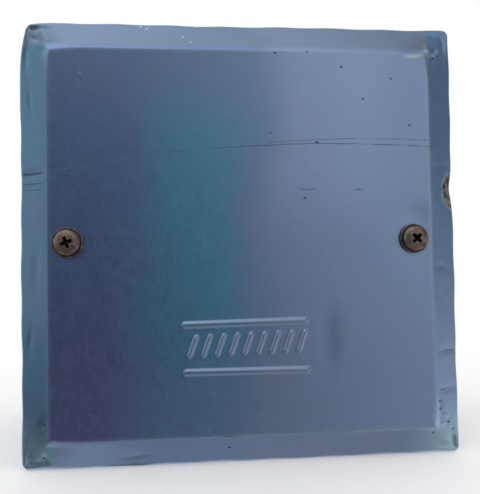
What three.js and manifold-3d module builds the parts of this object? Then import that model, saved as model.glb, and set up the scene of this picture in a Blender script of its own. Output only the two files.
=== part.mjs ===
// A square sheet-steel electrical junction box for wall mounting: a welded back box with knockouts,
// a bevelled pressed cover on two screws with washers, a terminal strip and an earth terminal.
// Millimetres. +X is right, +Z is up, and +Y points into the wall: the origin is the centre of the
// back face, and the cover faces -Y.
import * as THREE from "three";
import { mergeVertices } from "three/addons/utils/BufferGeometryUtils.js";
import Module from "manifold-3d";

const wasm = await Module();
wasm.setup();

// ---------------------------------------------------------------- driving dimensions
const BOX_SIDE = 100; // outer width and height of the back box
const BOX_DEPTH = 65; // wall face to the mouth of the back box
const WALL = 1.2; // sheet of the back box
const BEND = 2.4; // outer bend radius of the back box
const FLANGE = 9; // width of the flanges on the side plates
const RELIEF = 6; // the flanges stop this short of the corners
const FIT_GAP = 0.05; // gap between parts that touch or are welded face to face

const COVER_SIDE = 104; // outer width and height of the cover
const COVER_SHEET = 0.8;
const BEVEL_RUN = 6.8; // width of the sloping border, seen from the front
const BEVEL_DROP = 2.6; // how far the border falls back
const RIM_RETURN = 1.6; // short skirt behind the border
const RIM_CORNER = 1.6; // corner radius of the rim
const PANEL_CORNER = 0.9; // corner radius of the raised panel
const SEAT_GAP = 0.25; // cover's border to the mouth's edge

const SCREW_SPACING = 81.5; // between the two cover screws
const THREAD_GAP = 0.2; // radial play that stands for the thread

const KNOCKOUT_RADIUS = 11.1; // 22.2 mm hole for a 20 mm conduit
const KNOCKOUT_GAP = 0.3; // shear gap round a knockout
const KNOCKOUT_PROUD = 0.4; // how far a knockout stands out of its wall
const TIE_WIDTH = 2.2; // width of the ties that hold a knockout
const TIE_GAP = 0.1; // a tie's end to the wall of its hole
const KNOCKOUT_PITCH = 44; // between the two knockouts of a side
const BACK_KNOCKOUT_Z = -24; // height of the single knockout in the back

const STRIP_Z = 14; // centre height of the terminal strip
const POLE_PITCH = 12;
const POLES = [-1, 0, 1];

const EARTH_X = 28; // place of the earth terminal on the back
const EARTH_Z = -24;

const OVER = 1; // how far a cutting tool runs past the face that it cuts

// ---------------------------------------------------------------- derived places
const HALF_BOX = BOX_SIDE / 2;
const HALF_COVER = COVER_SIDE / 2;
const HALF_PANEL = HALF_COVER - BEVEL_RUN;
const BEVEL_SLOPE = BEVEL_DROP / BEVEL_RUN;
const BEVEL_THROUGH = COVER_SHEET * Math.hypot(1, BEVEL_SLOPE); // sheet measured along Y on the slope
// The border's underside clears the edge of the mouth by the seat gap.
const COVER_FRONT = BOX_DEPTH + SEAT_GAP + BEVEL_THROUGH + (HALF_BOX - HALF_PANEL) * BEVEL_SLOPE;
const MID_DEPTH = -BOX_DEPTH / 2;

const PAN_M3 = { radius: 1.5, headRadius: 3.0, headHeight: 1.8, recess: 1.25, recessDepth: 1.2 };
const PAN_M4 = { radius: 2.0, headRadius: 4.0, headHeight: 3.1, recess: 2.2, recessDepth: 2.0 };
const M3_LENGTH = 12;
const CHEEK = 0.35; // straight part of a screw head's side, as a share of its height
const WING = 0.24; // half width of a recess's wings, as a share of their reach
const WASHER = { outer: 3.5, inner: 1.7, thickness: 0.5 };

const LUG = { width: 14, reach: 13.5, depth: 14, sheet: 1.5, collarRadius: 3.0, collarLength: 1.2 };
const BRIDGE = { halfTop: 22, halfFoot: 31, width: 14, rise: 6, sheet: WALL };
const STRIP = { halfLength: 19, halfHeight: 10, base: 9, tower: 6, towerRadius: 3.8, well: 2.3 };
const BARREL = { radius: 2.7, bore: 1.8, halfLength: 9.5, play: 0.15 };
const CLAMP = { offset: 5.5, radius: 1.25, headRadius: 2.0, headHeight: 1.6, slot: 0.6, stand: 1.2 };
const CLAMP_TIP_GAP = 0.4; // a clamp screw's tip to the axis of its barrel
const EARTH_NUT = { radius: 4.05, thickness: 3.2 };
const EARTH_CUP = { side: 10, thickness: 1.0, lip: 1.2 };
const EARTH_SPRING = { outer: 3.8, inner: 2.2, thickness: 1.0, split: 0.7 };
const EARTH_TIP_GAP = 0.3; // the earth screw's tip to the back
const MOUNTING_SLOT = { radius: 2.5, length: 9, x: 34, z: 36 };

// ---------------------------------------------------------------- materials
const finish = (color, roughness, metalness) =>
  new THREE.MeshStandardMaterial({ color, roughness, metalness });
const COVER_STEEL = finish(0x5c7590, 0.35, 0.85);
const BOX_STEEL = finish(0x6f8296, 0.45, 0.85);
const SCREW_STEEL = finish(0x7a7068, 0.45, 0.8);
const BRASS = finish(0xb59a57, 0.35, 0.9);
const INSULATOR = finish(0xe4e1d6, 0.55, 0.0);
const EARTH_GREEN = finish(0x2f7a4a, 0.4, 0.3);

// ---------------------------------------------------------------- solids
// A closed three.js geometry as a manifold-3d solid.
function solid(geometry) {
  const bare = geometry.index ? geometry.toNonIndexed() : geometry.clone();
  bare.deleteAttribute("normal");
  bare.deleteAttribute("uv");
  const merged = mergeVertices(bare, 1e-4);
  return new wasm.Manifold(
    new wasm.Mesh({
      numProp: 3,
      vertProperties: new Float32Array(merged.attributes.position.array),
      triVerts: new Uint32Array(merged.index.array),
    }),
  );
}

function geometryOf(body) {
  const mesh = body.getMesh();
  const geometry = new THREE.BufferGeometry();
  geometry.setAttribute("position", new THREE.BufferAttribute(mesh.vertProperties, 3));
  geometry.setIndex(new THREE.BufferAttribute(mesh.triVerts, 1));
  return geometry;
}

// The base solid with the tools cut out of it.
function cut(base, tools) {
  return tools.reduce((left, tool) => left.subtract(tool), base);
}

function join(bodies) {
  return bodies.reduce((left, body) => left.add(body));
}

// A block between two corners.
function block(low, high) {
  const size = high.map((value, axis) => value - low[axis]);
  const centre = high.map((value, axis) => (value + low[axis]) / 2);
  return solid(new THREE.BoxGeometry(...size).translate(...centre));
}

// A round rod along Y, from depth y0 to y1.
function rodY(radius, y0, y1, x = 0, z = 0, segments = 24) {
  const rod = new THREE.CylinderGeometry(radius, radius, Math.abs(y1 - y0), segments);
  return solid(rod.translate(x, (y0 + y1) / 2, z));
}

// A round rod along Z, centred on z = 0.
function rodZ(radius, length, x, y, segments = 20) {
  const rod = new THREE.CylinderGeometry(radius, radius, length, segments).rotateX(Math.PI / 2);
  return solid(rod.translate(x, y, 0));
}

// A flat outline given in X and Z, made a sheet that runs from depth yFront to yBack.
function sheetY(outline, yFront, yBack, curveSegments = 4) {
  const depth = yBack - yFront;
  const sheet = new THREE.ExtrudeGeometry(outline, { depth, bevelEnabled: false, curveSegments });
  return sheet.rotateX(Math.PI / 2).translate(0, yBack, 0);
}

// A flat outline given in Y and Z, drawn out along X from x0 to x1.
function sheetX(outline, x0, x1, curveSegments = 3) {
  const depth = x1 - x0;
  const sheet = new THREE.ExtrudeGeometry(outline, { depth, bevelEnabled: false, curveSegments });
  const turn = new THREE.Matrix4().makeBasis(
    new THREE.Vector3(0, 1, 0),
    new THREE.Vector3(0, 0, 1),
    new THREE.Vector3(1, 0, 0),
  );
  return sheet.applyMatrix4(turn).translate(x0, 0, 0);
}

// A bar with round ends, length and radius given, turned by angle and centred on (x, z).
function capsule(length, radius, angle, x, z) {
  const half = length / 2 - radius;
  const bar = new THREE.Shape();
  const along = new THREE.Vector2(Math.cos(angle), Math.sin(angle));
  bar.absarc(x + along.x * half, z + along.y * half, radius, angle - Math.PI / 2, angle + Math.PI / 2);
  bar.absarc(x - along.x * half, z - along.y * half, radius, angle + Math.PI / 2, angle + Math.PI * 1.5);
  bar.closePath();
  return bar;
}

// ---------------------------------------------------------------- the part
const part = new THREE.Group();

function add(name, geometry, material, parent = part) {
  const mesh = new THREE.Mesh(geometry, material);
  mesh.name = name;
  parent.add(mesh);
  return mesh;
}

// A group on a wall's outer face: its own +Z points out of the box there.
function faceFrame(position, rotation) {
  const frame = new THREE.Group();
  frame.position.set(...position);
  frame.rotation.set(...rotation);
  part.add(frame);
  frame.updateMatrixWorld(true);
  return frame;
}

const QUARTER = Math.PI / 2;
const FACES = {
  top: faceFrame([0, MID_DEPTH, HALF_BOX], [0, 0, 0]),
  bottom: faceFrame([0, MID_DEPTH, -HALF_BOX], [Math.PI, 0, 0]),
  right: faceFrame([HALF_BOX, MID_DEPTH, 0], [0, QUARTER, 0]),
  left: faceFrame([-HALF_BOX, MID_DEPTH, 0], [0, -QUARTER, 0]),
  back: faceFrame([0, 0, 0], [-QUARTER, 0, 0]),
};

// Each knockout: its face and its place on it. The one in the back is sunk, clear of the wall.
const PAIR = [-KNOCKOUT_PITCH / 2, KNOCKOUT_PITCH / 2];
const KNOCKOUTS = [
  ...PAIR.map((at, i) => ({ name: `knockout_top_${i + 1}`, face: "top", at: [at, 0] })),
  ...PAIR.map((at, i) => ({ name: `knockout_bottom_${i + 1}`, face: "bottom", at: [at, 0] })),
  ...PAIR.map((at, i) => ({ name: `knockout_left_${i + 1}`, face: "left", at: [at, 0] })),
  ...PAIR.map((at, i) => ({ name: `knockout_right_${i + 1}`, face: "right", at: [at, 0] })),
  { name: "knockout_back", face: "back", at: [0, -BACK_KNOCKOUT_Z], sunk: true },
];

// A round rod through a wall, at a place on one of its faces.
function punch(face, at, radius, segments = 28) {
  const rod = new THREE.CylinderGeometry(radius, radius, 4 * WALL, segments);
  rod.rotateX(QUARTER).translate(at[0], at[1], 0);
  return solid(rod.applyMatrix4(FACES[face].matrixWorld));
}

function knockoutHoles(face) {
  const here = KNOCKOUTS.filter((knockout) => knockout.face === face);
  return here.map(({ at }) => punch(face, at, KNOCKOUT_RADIUS));
}

// ---------------------------------------------------------------- back box
// The channel is one bent sheet: the top wall, the back and the bottom wall.
function backChannel() {
  const outline = new THREE.Shape();
  const inner = BEND - WALL;
  const corner = HALF_BOX - BEND;
  outline.moveTo(-BOX_DEPTH, -HALF_BOX);
  outline.lineTo(-BEND, -HALF_BOX);
  outline.absarc(-BEND, -corner, BEND, -QUARTER, 0);
  outline.absarc(-BEND, corner, BEND, 0, QUARTER);
  outline.lineTo(-BOX_DEPTH, HALF_BOX);
  outline.lineTo(-BOX_DEPTH, HALF_BOX - WALL);
  outline.absarc(-BEND, corner, inner, QUARTER, 0, true);
  outline.absarc(-BEND, -corner, inner, 0, -QUARTER, true);
  outline.lineTo(-BOX_DEPTH, WALL - HALF_BOX);
  outline.closePath();
  const bent = sheetX(outline, -HALF_BOX, HALF_BOX);
  const slots = [-1, 1].flatMap((side) =>
    [-1, 1].map((level) => {
      const { radius, length, x, z } = MOUNTING_SLOT;
      return solid(sheetY(capsule(length, radius, 0, side * x, level * z), -2 * WALL, WALL));
    }),
  );
  const holes = ["top", "bottom", "back"].flatMap(knockoutHoles);
  return geometryOf(cut(solid(bent), [...slots, ...holes]));
}

// A side plate closes one end of the channel, with three flanges turned in against its inner faces.
function sidePlate(side) {
  const outside = HALF_BOX - WALL - FIT_GAP; // outline of the plate, inside the channel
  const backEdge = -WALL - FIT_GAP;
  const x = (distance) => side * (HALF_BOX - distance);
  const ordered = (a, b) => [Math.min(a, b), Math.max(a, b)];
  const box = ([x0, x1], [y0, y1], [z0, z1]) => block([x0, y0, z0], [x1, y1, z1]);
  const corner = BEND - WALL + FIT_GAP; // clears the inside of the channel's bend
  const outline = new THREE.Shape();
  outline.moveTo(-BOX_DEPTH, -outside);
  outline.lineTo(backEdge - corner, -outside);
  outline.absarc(backEdge - corner, corner - outside, corner, -QUARTER, 0);
  outline.absarc(backEdge - corner, outside - corner, corner, 0, QUARTER);
  outline.lineTo(-BOX_DEPTH, outside);
  outline.closePath();
  const plate = solid(sheetX(outline, ...ordered(x(0), x(WALL))));
  const across = ordered(x(0), x(FLANGE));
  const lengthwise = [RELIEF - BOX_DEPTH, backEdge - RELIEF];
  const top = box(across, lengthwise, [outside - WALL, outside]);
  const bottom = box(across, lengthwise, [-outside, WALL - outside]);
  const back = box(across, [backEdge - WALL, backEdge], [RELIEF - outside, outside - RELIEF]);
  const sheet = join([plate, top, bottom, back]);
  return geometryOf(cut(sheet, knockoutHoles(side > 0 ? "right" : "left")));
}

// A welded angle inside the side plate. Its front leg carries the thread of a cover screw.
function coverLug(side) {
  const { width, reach, depth, sheet, collarRadius, collarLength } = LUG;
  const wall = side * (HALF_BOX - WALL - FIT_GAP);
  const across = (distance) => wall - side * distance;
  const span = (a, b) => [Math.min(a, b), Math.max(a, b)];
  const [legLow, legHigh] = span(wall, across(sheet));
  const [tabLow, tabHigh] = span(wall, across(reach));
  const leg = block([legLow, -BOX_DEPTH, -width / 2], [legHigh, depth - BOX_DEPTH, width / 2]);
  const tab = block([tabLow, -BOX_DEPTH, -width / 2], [tabHigh, sheet - BOX_DEPTH, width / 2]);
  const screwX = (side * SCREW_SPACING) / 2;
  const collarEnd = sheet + collarLength - BOX_DEPTH;
  const collar = rodY(collarRadius, -BOX_DEPTH, collarEnd, screwX);
  const hole = rodY(PAN_M3.radius + THREAD_GAP, -BOX_DEPTH - OVER, collarEnd + OVER, screwX);
  return geometryOf(cut(join([leg, tab, collar]), [hole]));
}

// ---------------------------------------------------------------- knockouts
// A punched blank, with two ties that reach its hole's wall.
function blank() {
  const outline = new THREE.Shape();
  const body = KNOCKOUT_RADIUS - KNOCKOUT_GAP;
  const halfTie = TIE_WIDTH / 2 / KNOCKOUT_RADIUS;
  for (const tie of [QUARTER, 3 * QUARTER]) {
    outline.absarc(0, 0, KNOCKOUT_RADIUS - TIE_GAP, tie - halfTie, tie + halfTie);
    outline.absarc(0, 0, body, tie + halfTie, tie + Math.PI - halfTie);
  }
  outline.closePath();
  return new THREE.ExtrudeGeometry(outline, { depth: WALL, bevelEnabled: false, curveSegments: 6 });
}

function addKnockouts() {
  for (const { name, face, at, sunk } of KNOCKOUTS) {
    const inner = (sunk ? -KNOCKOUT_PROUD : KNOCKOUT_PROUD) - WALL;
    add(name, blank(), BOX_STEEL, FACES[face]).position.set(at[0], at[1], inner);
  }
}

// ---------------------------------------------------------------- cover
// Points of a square with rounded corners, at one depth.
function roundedSquare(half, radius, y, steps = 4) {
  const points = [];
  for (let corner = 0; corner < 4; corner++) {
    const middle = QUARTER * (corner + 0.5);
    const cx = Math.sign(Math.cos(middle)) * (half - radius);
    const cz = Math.sign(Math.sin(middle)) * (half - radius);
    for (let step = 0; step <= steps; step++) {
      const angle = QUARTER * (corner + step / steps);
      points.push([cx + radius * Math.cos(angle), y, cz + radius * Math.sin(angle)]);
    }
  }
  return points;
}

// A closed skin over rings of equal length, with a flat cap on the first and on the last.
function loft(rings) {
  const count = rings[0].length;
  const positions = rings.flat();
  const faces = [];
  for (let ring = 0; ring + 1 < rings.length; ring++) {
    for (let i = 0; i < count; i++) {
      const a = ring * count + i;
      const b = ring * count + ((i + 1) % count);
      faces.push(a, b, a + count, b, b + count, a + count);
    }
  }
  const first = positions.push([0, rings[0][0][1], 0]) - 1;
  const last = positions.push([0, rings.at(-1)[0][1], 0]) - 1;
  const start = (rings.length - 1) * count;
  for (let i = 0; i < count; i++) {
    const next = (i + 1) % count;
    faces.push(first, next, i, last, start + i, start + next);
  }
  const geometry = new THREE.BufferGeometry();
  geometry.setAttribute("position", new THREE.Float32BufferAttribute(positions.flat(), 3));
  geometry.setIndex(faces);
  return geometry;
}

// The stamped pattern: a plain bar above and below a row of slanted dashes, a little out of level.
const STAMP = { x: 0.2, z: -24.1, tilt: 0.023, rise: 0.4, narrowing: 0.3 };
const BAR = { length: 29.8, radius: 0.8 };
const BARS = [{ offset: 4.85, tilt: -0.01 }, { offset: -6.05, tilt: -0.03 }]; // not quite parallel
const DASH = { count: 9, pitch: 3.2, length: 5.6, radius: 0.55, slant: 1.2 };

function stampOutlines(inset) {
  const turned = (u, v) => [
    STAMP.x + u * Math.cos(STAMP.tilt) - v * Math.sin(STAMP.tilt),
    STAMP.z + u * Math.sin(STAMP.tilt) + v * Math.cos(STAMP.tilt),
  ];
  const bars = BARS.map(({ offset, tilt }) =>
    capsule(BAR.length - 2 * inset, BAR.radius - inset, STAMP.tilt + tilt, ...turned(0, offset)),
  );
  const dashes = Array.from({ length: DASH.count }, (_, i) => {
    const place = turned((i - (DASH.count - 1) / 2) * DASH.pitch, 0);
    return capsule(DASH.length - 2 * inset, DASH.radius - inset, STAMP.tilt + DASH.slant, ...place);
  });
  return [...bars, ...dashes];
}

function cover() {
  const front = -COVER_FRONT;
  const rim = front + BEVEL_DROP;
  const inside = COVER_SHEET; // the inner skin lies this far inside the outer one
  // Where the inner skins of the panel and the border meet.
  const innerPanel = HALF_PANEL - COVER_SHEET * Math.tan(Math.atan(BEVEL_SLOPE) / 2);
  const innerRimDepth = front + BEVEL_THROUGH + (HALF_COVER - inside - HALF_PANEL) * BEVEL_SLOPE;
  const skin = loft([
    roundedSquare(innerPanel, PANEL_CORNER, front + inside),
    roundedSquare(HALF_COVER - inside, RIM_CORNER - inside, innerRimDepth),
    roundedSquare(HALF_COVER - inside, RIM_CORNER - inside, rim + RIM_RETURN),
    roundedSquare(HALF_COVER, RIM_CORNER, rim + RIM_RETURN),
    roundedSquare(HALF_COVER, RIM_CORNER, rim),
    roundedSquare(HALF_PANEL, PANEL_CORNER, front),
  ]);
  const raised = stampOutlines(0).map((bar) => solid(sheetY(bar, front - STAMP.rise, front + inside / 2, 2)));
  const pressed = stampOutlines(STAMP.narrowing).map((bar) =>
    solid(sheetY(bar, front + inside - STAMP.rise, front + inside + OVER, 2)),
  );
  const holeRadius = PAN_M3.radius + 2 * THREAD_GAP;
  const holes = [-1, 1].map((side) =>
    rodY(holeRadius, front - OVER, front + inside + OVER, (side * SCREW_SPACING) / 2),
  );
  return geometryOf(cut(join([solid(skin), ...raised]), [...pressed, ...holes]));
}

// ---------------------------------------------------------------- fasteners
// A flat ring along Y, from depth 0 towards the viewer.
function washer({ outer, inner, thickness }) {
  return geometryOf(cut(rodY(outer, -thickness, 0), [rodY(inner, -thickness - OVER, OVER)]));
}

// A pan-head screw with a cross recess. The underside of its head is at y = 0 and its tip at +length.
function panScrew({ radius, headRadius, headHeight, recess, recessDepth }, length) {
  const cheek = CHEEK * headHeight;
  const point = radius / 2; // length and inner radius of the chamfer at the tip
  const profile = [
    new THREE.Vector2(0, length),
    new THREE.Vector2(radius - point, length),
    new THREE.Vector2(radius, length - point),
    new THREE.Vector2(radius, 0),
    new THREE.Vector2(headRadius, 0),
    new THREE.Vector2(headRadius, -cheek),
  ];
  const steps = 3;
  for (let step = 1; step <= steps; step++) {
    const turn = (QUARTER * step) / steps;
    const y = -cheek - (headHeight - cheek) * Math.sin(turn);
    profile.push(new THREE.Vector2(headRadius * Math.cos(turn) * (step < steps ? 1 : 0), y));
  }
  const body = solid(new THREE.LatheGeometry(profile.reverse(), 18));
  const wing = recess * WING;
  const deep = recessDepth - headHeight;
  const cross = [
    block([-recess, -headHeight - OVER, -wing], [recess, deep, wing]),
    block([-wing, -headHeight - OVER, -recess], [wing, deep, recess]),
  ];
  return geometryOf(cut(body, cross));
}

function addCoverFasteners() {
  for (const [name, side] of [["left", -1], ["right", 1]]) {
    const stack = new THREE.Group();
    stack.position.set((side * SCREW_SPACING) / 2, -COVER_FRONT - FIT_GAP, 0);
    part.add(stack);
    add(`cover_washer_${name}`, washer(WASHER), SCREW_STEEL, stack);
    const screw = add(`cover_screw_${name}`, panScrew(PAN_M3, M3_LENGTH), SCREW_STEEL, stack);
    screw.position.y = -WASHER.thickness - FIT_GAP;
  }
}

// ---------------------------------------------------------------- terminal strip
// The bridge is a hat-shaped strip welded to the back. It lifts the terminal strip off the steel.
function bridge() {
  const { halfTop, halfFoot, width, rise, sheet } = BRIDGE;
  const foot = -WALL - FIT_GAP;
  const top = foot - rise;
  const path = [
    [-halfFoot, foot],
    [-halfFoot, foot - sheet],
    [-halfTop - sheet, foot - sheet],
    [-halfTop, top],
    [halfTop, top],
    [halfTop + sheet, foot - sheet],
    [halfFoot, foot - sheet],
    [halfFoot, foot],
    [halfTop, foot],
    [halfTop - sheet, top + sheet],
    [sheet - halfTop, top + sheet],
    [-halfTop, foot],
  ];
  const outline = new THREE.Shape(path.map(([x, y]) => new THREE.Vector2(x, y)));
  const bent = new THREE.ExtrudeGeometry(outline, { depth: width, bevelEnabled: false });
  bent.translate(0, 0, STRIP_Z - width / 2);
  const holes = fixingPlaces().map((x) => rodY(PAN_M3.radius + THREAD_GAP, top - OVER, foot, x, STRIP_Z));
  return geometryOf(cut(solid(bent), holes));
}

function fixingPlaces() {
  return [-POLE_PITCH / 2, POLE_PITCH / 2];
}

const STRIP_BACK = -WALL - FIT_GAP - BRIDGE.rise - FIT_GAP;
const BARREL_DEPTH = -STRIP.base / 2; // depth of the barrels' axes in the strip's own frame

// The places of the clamp screws in the strip's own frame.
function clampPlaces() {
  return POLES.flatMap((pole) =>
    [1, -1].map((level) => ({
      name: `clamp_screw_${pole + 2}_${level > 0 ? "upper" : "lower"}`,
      x: pole * POLE_PITCH,
      z: level * CLAMP.offset,
    })),
  );
}

// The insulating body: a base with a tower over each clamp screw. Its back is at y = 0.
function stripBody() {
  const { halfLength, halfHeight, base, tower, towerRadius, well } = STRIP;
  const slab = block([-halfLength, -base, -halfHeight], [halfLength, 0, halfHeight]);
  const towers = clampPlaces().map(({ x, z }) => rodY(towerRadius, -base - tower, OVER - base, x, z, 16));
  const wells = clampPlaces().map(({ x, z }) =>
    rodY(well, -base - tower - OVER, BARREL_DEPTH, x, z, 16),
  );
  const bores = POLES.map((pole) =>
    rodZ(BARREL.radius + BARREL.play, 2 * (halfHeight + OVER), pole * POLE_PITCH, BARREL_DEPTH),
  );
  const fixings = fixingPlaces().map((x) => rodY(PAN_M3.radius + THREAD_GAP, -base - OVER, OVER, x, 0));
  return geometryOf(cut(join([slab, ...towers]), [...wells, ...bores, ...fixings]));
}

// A brass tube with one threaded hole for each of its two clamp screws.
function barrel() {
  const tube = rodZ(BARREL.radius, 2 * BARREL.halfLength, 0, 0);
  const bore = rodZ(BARREL.bore, 2 * (BARREL.halfLength + OVER), 0, 0);
  const threads = [-1, 1].map((level) =>
    rodY(CLAMP.radius + THREAD_GAP, -BARREL.radius - OVER, 0, 0, level * CLAMP.offset, 16),
  );
  return geometryOf(cut(tube, [bore, ...threads]));
}

// A slotted clamp screw. The underside of its head is at y = 0.
function clampScrew(length) {
  const head = rodY(CLAMP.headRadius, -CLAMP.headHeight, 0, 0, 0, 16);
  const shank = rodY(CLAMP.radius, -CLAMP.headHeight / 2, length, 0, 0, 12);
  const half = CLAMP.slot / 2;
  const reach = CLAMP.headRadius + OVER;
  const slot = block([-reach, -CLAMP.headHeight - OVER, -half], [reach, -CLAMP.headHeight / 2, half]);
  return geometryOf(cut(join([head, shank]), [slot]));
}

function addTerminalStrip() {
  add("terminal_bridge", bridge(), BOX_STEEL);
  const strip = new THREE.Group();
  strip.position.set(0, STRIP_BACK, STRIP_Z);
  part.add(strip);
  add("terminal_strip_body", stripBody(), INSULATOR, strip);
  for (const pole of POLES) {
    const tube = add(`terminal_barrel_${pole + 2}`, barrel(), BRASS, strip);
    tube.position.set(pole * POLE_PITCH, BARREL_DEPTH, 0);
  }
  const tip = BARREL_DEPTH - CLAMP_TIP_GAP;
  const underHead = -STRIP.base - CLAMP.stand;
  for (const { name, x, z } of clampPlaces()) {
    add(name, clampScrew(tip - underHead), SCREW_STEEL, strip).position.set(x, underHead, z);
  }
  fixingPlaces().forEach((x, i) => {
    const screw = add(`strip_fixing_screw_${i + 1}`, panScrew(PAN_M3, M3_LENGTH), SCREW_STEEL, strip);
    screw.position.set(x, -STRIP.base - FIT_GAP, 0);
  });
}

// ---------------------------------------------------------------- earth terminal
function earthNut() {
  const hex = rodY(EARTH_NUT.radius, -EARTH_NUT.thickness, 0, 0, 0, 6).rotate([0, 30, 0]);
  const hole = rodY(PAN_M4.radius + THREAD_GAP, -EARTH_NUT.thickness - OVER, OVER);
  return geometryOf(cut(hex, [hole]));
}

// A square clamp washer whose upper and lower edges turn back to hold the wire.
function earthCup() {
  const { side, thickness, lip } = EARTH_CUP;
  const half = side / 2;
  const plate = block([-half, -thickness, -half], [half, 0, half]);
  const lips = [-1, 1].map((level) =>
    block(
      [-half, -thickness, Math.min(level * half, level * (half - thickness))],
      [half, lip, Math.max(level * half, level * (half - thickness))],
    ),
  );
  const hole = rodY(PAN_M4.radius + THREAD_GAP, -thickness - OVER, OVER);
  return geometryOf(cut(join([plate, ...lips]), [hole]));
}

function earthSpringWasher() {
  const { outer, inner, thickness, split } = EARTH_SPRING;
  const hole = rodY(inner, -thickness - OVER, OVER);
  const gap = block([0, -thickness - OVER, -split / 2], [outer + OVER, OVER, split / 2]);
  return geometryOf(cut(rodY(outer, -thickness, 0), [hole, gap]));
}

function addEarthTerminal() {
  const stack = new THREE.Group();
  stack.position.set(EARTH_X, -WALL - FIT_GAP, EARTH_Z);
  part.add(stack);
  const parts = [
    ["earth_weld_nut", earthNut(), BOX_STEEL, EARTH_NUT.thickness],
    ["earth_clamp_washer", earthCup(), BRASS, EARTH_CUP.thickness],
    ["earth_spring_washer", earthSpringWasher(), SCREW_STEEL, EARTH_SPRING.thickness],
  ];
  let y = 0;
  for (const [name, geometry, material, thickness] of parts) {
    add(name, geometry, material, stack).position.y = y;
    y -= thickness + FIT_GAP;
  }
  add("earth_screw", panScrew(PAN_M4, -y - EARTH_TIP_GAP), EARTH_GREEN, stack).position.y = y;
}

// ---------------------------------------------------------------- assembly
add("back_channel", backChannel(), BOX_STEEL);
add("side_plate_left", sidePlate(-1), BOX_STEEL);
add("side_plate_right", sidePlate(1), BOX_STEEL);
add("cover_lug_left", coverLug(-1), BOX_STEEL);
add("cover_lug_right", coverLug(1), BOX_STEEL);
addKnockouts();
add("cover", cover(), COVER_STEEL);
addCoverFasteners();
addTerminalStrip();
addEarthTerminal();

export default part;
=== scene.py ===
# The looks of a sheet-steel electrical junction box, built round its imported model.
import math

import bmesh
import bpy
import numpy as np
from mathutils import Matrix, Vector


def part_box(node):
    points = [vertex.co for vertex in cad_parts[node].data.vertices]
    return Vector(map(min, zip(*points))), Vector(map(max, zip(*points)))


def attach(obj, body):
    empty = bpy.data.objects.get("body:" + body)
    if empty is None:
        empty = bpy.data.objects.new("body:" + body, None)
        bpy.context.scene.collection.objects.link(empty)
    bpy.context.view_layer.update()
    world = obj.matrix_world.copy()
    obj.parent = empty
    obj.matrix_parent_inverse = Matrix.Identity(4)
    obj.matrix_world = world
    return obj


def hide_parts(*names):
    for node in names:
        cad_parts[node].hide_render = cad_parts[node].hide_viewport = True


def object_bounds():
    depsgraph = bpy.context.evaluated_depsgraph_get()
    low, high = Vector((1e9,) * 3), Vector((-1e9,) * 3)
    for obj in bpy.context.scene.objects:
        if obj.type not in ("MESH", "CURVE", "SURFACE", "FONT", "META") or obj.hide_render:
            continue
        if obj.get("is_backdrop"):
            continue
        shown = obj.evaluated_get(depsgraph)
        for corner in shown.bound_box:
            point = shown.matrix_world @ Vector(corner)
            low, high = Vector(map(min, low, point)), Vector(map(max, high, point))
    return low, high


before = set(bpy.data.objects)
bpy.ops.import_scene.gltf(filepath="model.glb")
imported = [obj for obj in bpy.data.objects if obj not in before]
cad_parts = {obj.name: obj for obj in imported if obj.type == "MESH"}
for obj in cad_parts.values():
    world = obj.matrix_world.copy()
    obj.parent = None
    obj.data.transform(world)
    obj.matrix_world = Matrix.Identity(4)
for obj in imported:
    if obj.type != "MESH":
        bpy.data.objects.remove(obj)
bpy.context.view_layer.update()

scene = bpy.context.scene
MM = 0.001
TURN = 2 * math.pi


# ---------------------------------------------------------------- mesh helpers
def new_object(name, mesh):
    piece = bpy.data.objects.new(name, mesh)
    scene.collection.objects.link(piece)
    return piece


def object_from(name, points, faces, smooth_angle=40):
    """A mesh object from points in millimetres. Edges sharper than the angle stay sharp."""
    mesh = bpy.data.meshes.new(name)
    mesh.from_pydata((np.asarray(points, float) * MM).tolist(), [], faces)
    mesh.update()
    soften(mesh, smooth_angle)
    return new_object(name, mesh)


def soften(mesh, smooth_angle):
    mesh.polygons.foreach_set("use_smooth", [True] * len(mesh.polygons))
    mesh.set_sharp_from_angle(angle=math.radians(smooth_angle))


def object_from_bmesh(name, bm, smooth_angle=40):
    """A mesh object from a bmesh in millimetres, with its faces turned outwards."""
    bmesh.ops.recalc_face_normals(bm, faces=bm.faces)
    bmesh.ops.scale(bm, vec=(MM, MM, MM), verts=bm.verts)
    mesh = bpy.data.meshes.new(name)
    bm.to_mesh(mesh)
    bm.free()
    soften(mesh, smooth_angle)
    return new_object(name, mesh)


def discard(piece):
    mesh = piece.data
    bpy.data.objects.remove(piece)
    bpy.data.meshes.remove(mesh)


def settle(piece, body, slot, material, *nodes):
    """Puts a finished piece on its body, in place of the CAD nodes that it stands for."""
    piece.data.materials.clear()
    piece.data.materials.append(material)
    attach(piece, body)
    if nodes:
        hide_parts(*nodes)
    return piece


def node_corners(node):
    """A CAD node's lowest and highest corner, in millimetres."""
    return [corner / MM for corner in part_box(node)]


def node_depths(node):
    """Where a CAD node starts and ends from front to back, in millimetres."""
    return [corner.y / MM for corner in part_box(node)]


def smoothstep(low, high, value):
    share = np.clip((value - low) / (high - low), 0, 1)
    return share * share * (3 - 2 * share)


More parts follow.
